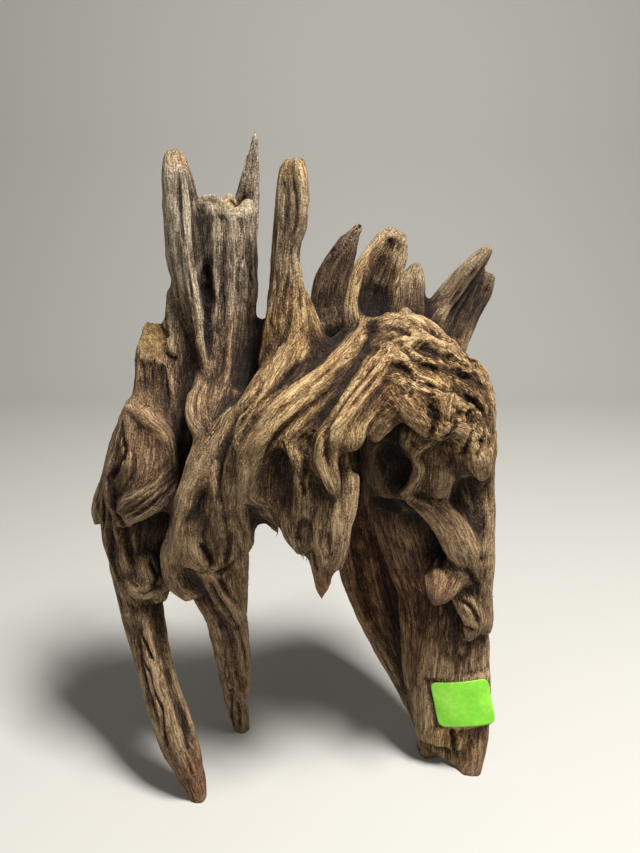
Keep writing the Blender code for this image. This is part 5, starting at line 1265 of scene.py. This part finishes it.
# Dyed paper with a thin coat: half glossy, bright, and slightly flecked and rippled by its fibres
green, green_surface = new_material("green_coated_paper")
place = add_node(green, "TexCoord", {}, "Object")
fleck, broad = (
    add_node(green, "TexNoise", {"Vector": place, "Scale": 1 / (size * MM), "Detail": detail,
                                 "Roughness": roughness})
    for size, detail, roughness in ((3.846, 4.0, 0.65), (18.18, 2.0, 0.5)))
dyed = weighed_up(green, 0.0, (fleck, 0.0, 1.0, 0.4), (broad, 0.0, 1.0, 0.6))
tint = add_node(green, "ValToRGB", {0: dyed}, stops=((0.35, "#74cc26"), (0.5, "#88dc32"), (0.65, "#a0e94a")))
ripple = add_node(green, "Bump", {"Strength": 0.35, "Distance": 0.12 * MM, "Height": fleck})
set_inputs(green, green_surface, {"Base Color": tint, "Roughness": 0.5, "Normal": ripple})
set_material(paper, green)

# The floor
# A pale matt sheet of paper, as in a photographer's studio. It lies flat under the trunk and curves up
# behind it into a wall.

FLOOR_HALF_WIDTH = 3500
FLOOR_FRONT = -3000
SWEEP_START = 900
SWEEP_RADIUS = 500
WALL_TOP = 3500
SWEEP_STEPS = 24

turn = np.linspace(0, math.pi / 2, SWEEP_STEPS)
behind = SWEEP_START + SWEEP_RADIUS * np.sin(turn)
sweep_y = np.concatenate([[FLOOR_FRONT], behind, [SWEEP_START + SWEEP_RADIUS]])
sweep_z = np.concatenate([[0], SWEEP_RADIUS * (1 - np.cos(turn)), [WALL_TOP]])
count = len(sweep_y)
sides = (-FLOOR_HALF_WIDTH, FLOOR_HALF_WIDTH)
edges = [np.stack([np.full(count, x), sweep_y, sweep_z], axis=1) for x in sides]
strips = [(i, count + i, count + i + 1, i + 1) for i in range(count - 1)]
floor_mesh = mesh_from("floor", np.vstack(edges), strips)
floor_mesh.shade_smooth()
floor = shown("floor", floor_mesh)
pale, pale_surface = new_material("pale_matt_paper")
set_inputs(pale, pale_surface, {"Base Color": colour("#b9b6af"), "Roughness": 0.9})
set_material(floor_mesh, pale)

# Light and camera
# A soft key stands high on the right and a little in front, a broad weak fill in front on the left, and
# a dim world fills the rest. The camera's place, in the roots' own frame, its tilt and its focal length
# were worked out from the photograph.

LAMPS = {"key": ((0.42, -0.38, 1.40), 0.30, 41.0), "fill": ((-0.9, -1.1, 0.7), 1.2, 2.4)}
LIT_POINT = (0, 0, 0.22)
WORLD_STRENGTH = 0.15
CAMERA_PLACE = (14, -385, 369)
CAMERA_DOWN = 18
FOCAL_PIXELS = 700
PHOTO_HEIGHT = 853
SENSOR_HEIGHT = 24.0

for name, (where, size, power) in LAMPS.items():
    lamp = bpy.data.lights.new(name, "AREA")
    lamp.size = size
    lamp.energy = power
    holder = shown(name, lamp)
    holder.location = where
    holder.rotation_mode = "QUATERNION"
    holder.rotation_quaternion = (Vector(LIT_POINT) - holder.location).to_track_quat("-Z", "Y")

world = bpy.data.worlds.new("studio")
world.use_nodes = True
set_inputs(world, world.node_tree.nodes["Background"], {0: colour("#e9eaec"), 1: WORLD_STRENGTH})
bpy.context.scene.world = world

camera_data = bpy.data.cameras.new("camera")
camera_data.sensor_fit = "VERTICAL"
camera_data.sensor_height = SENSOR_HEIGHT
camera_data.lens = SENSOR_HEIGHT * FOCAL_PIXELS / PHOTO_HEIGHT
camera_data.clip_start = 0.01
camera = shown("camera", camera_data)
camera.location = (np.array(CAMERA_PLACE) + SHIFT) * MM
camera.rotation_euler = (math.radians(90 - CAMERA_DOWN), 0, 0)
bpy.context.scene.camera = camera
bpy.context.scene.view_settings.view_transform = "Standard"
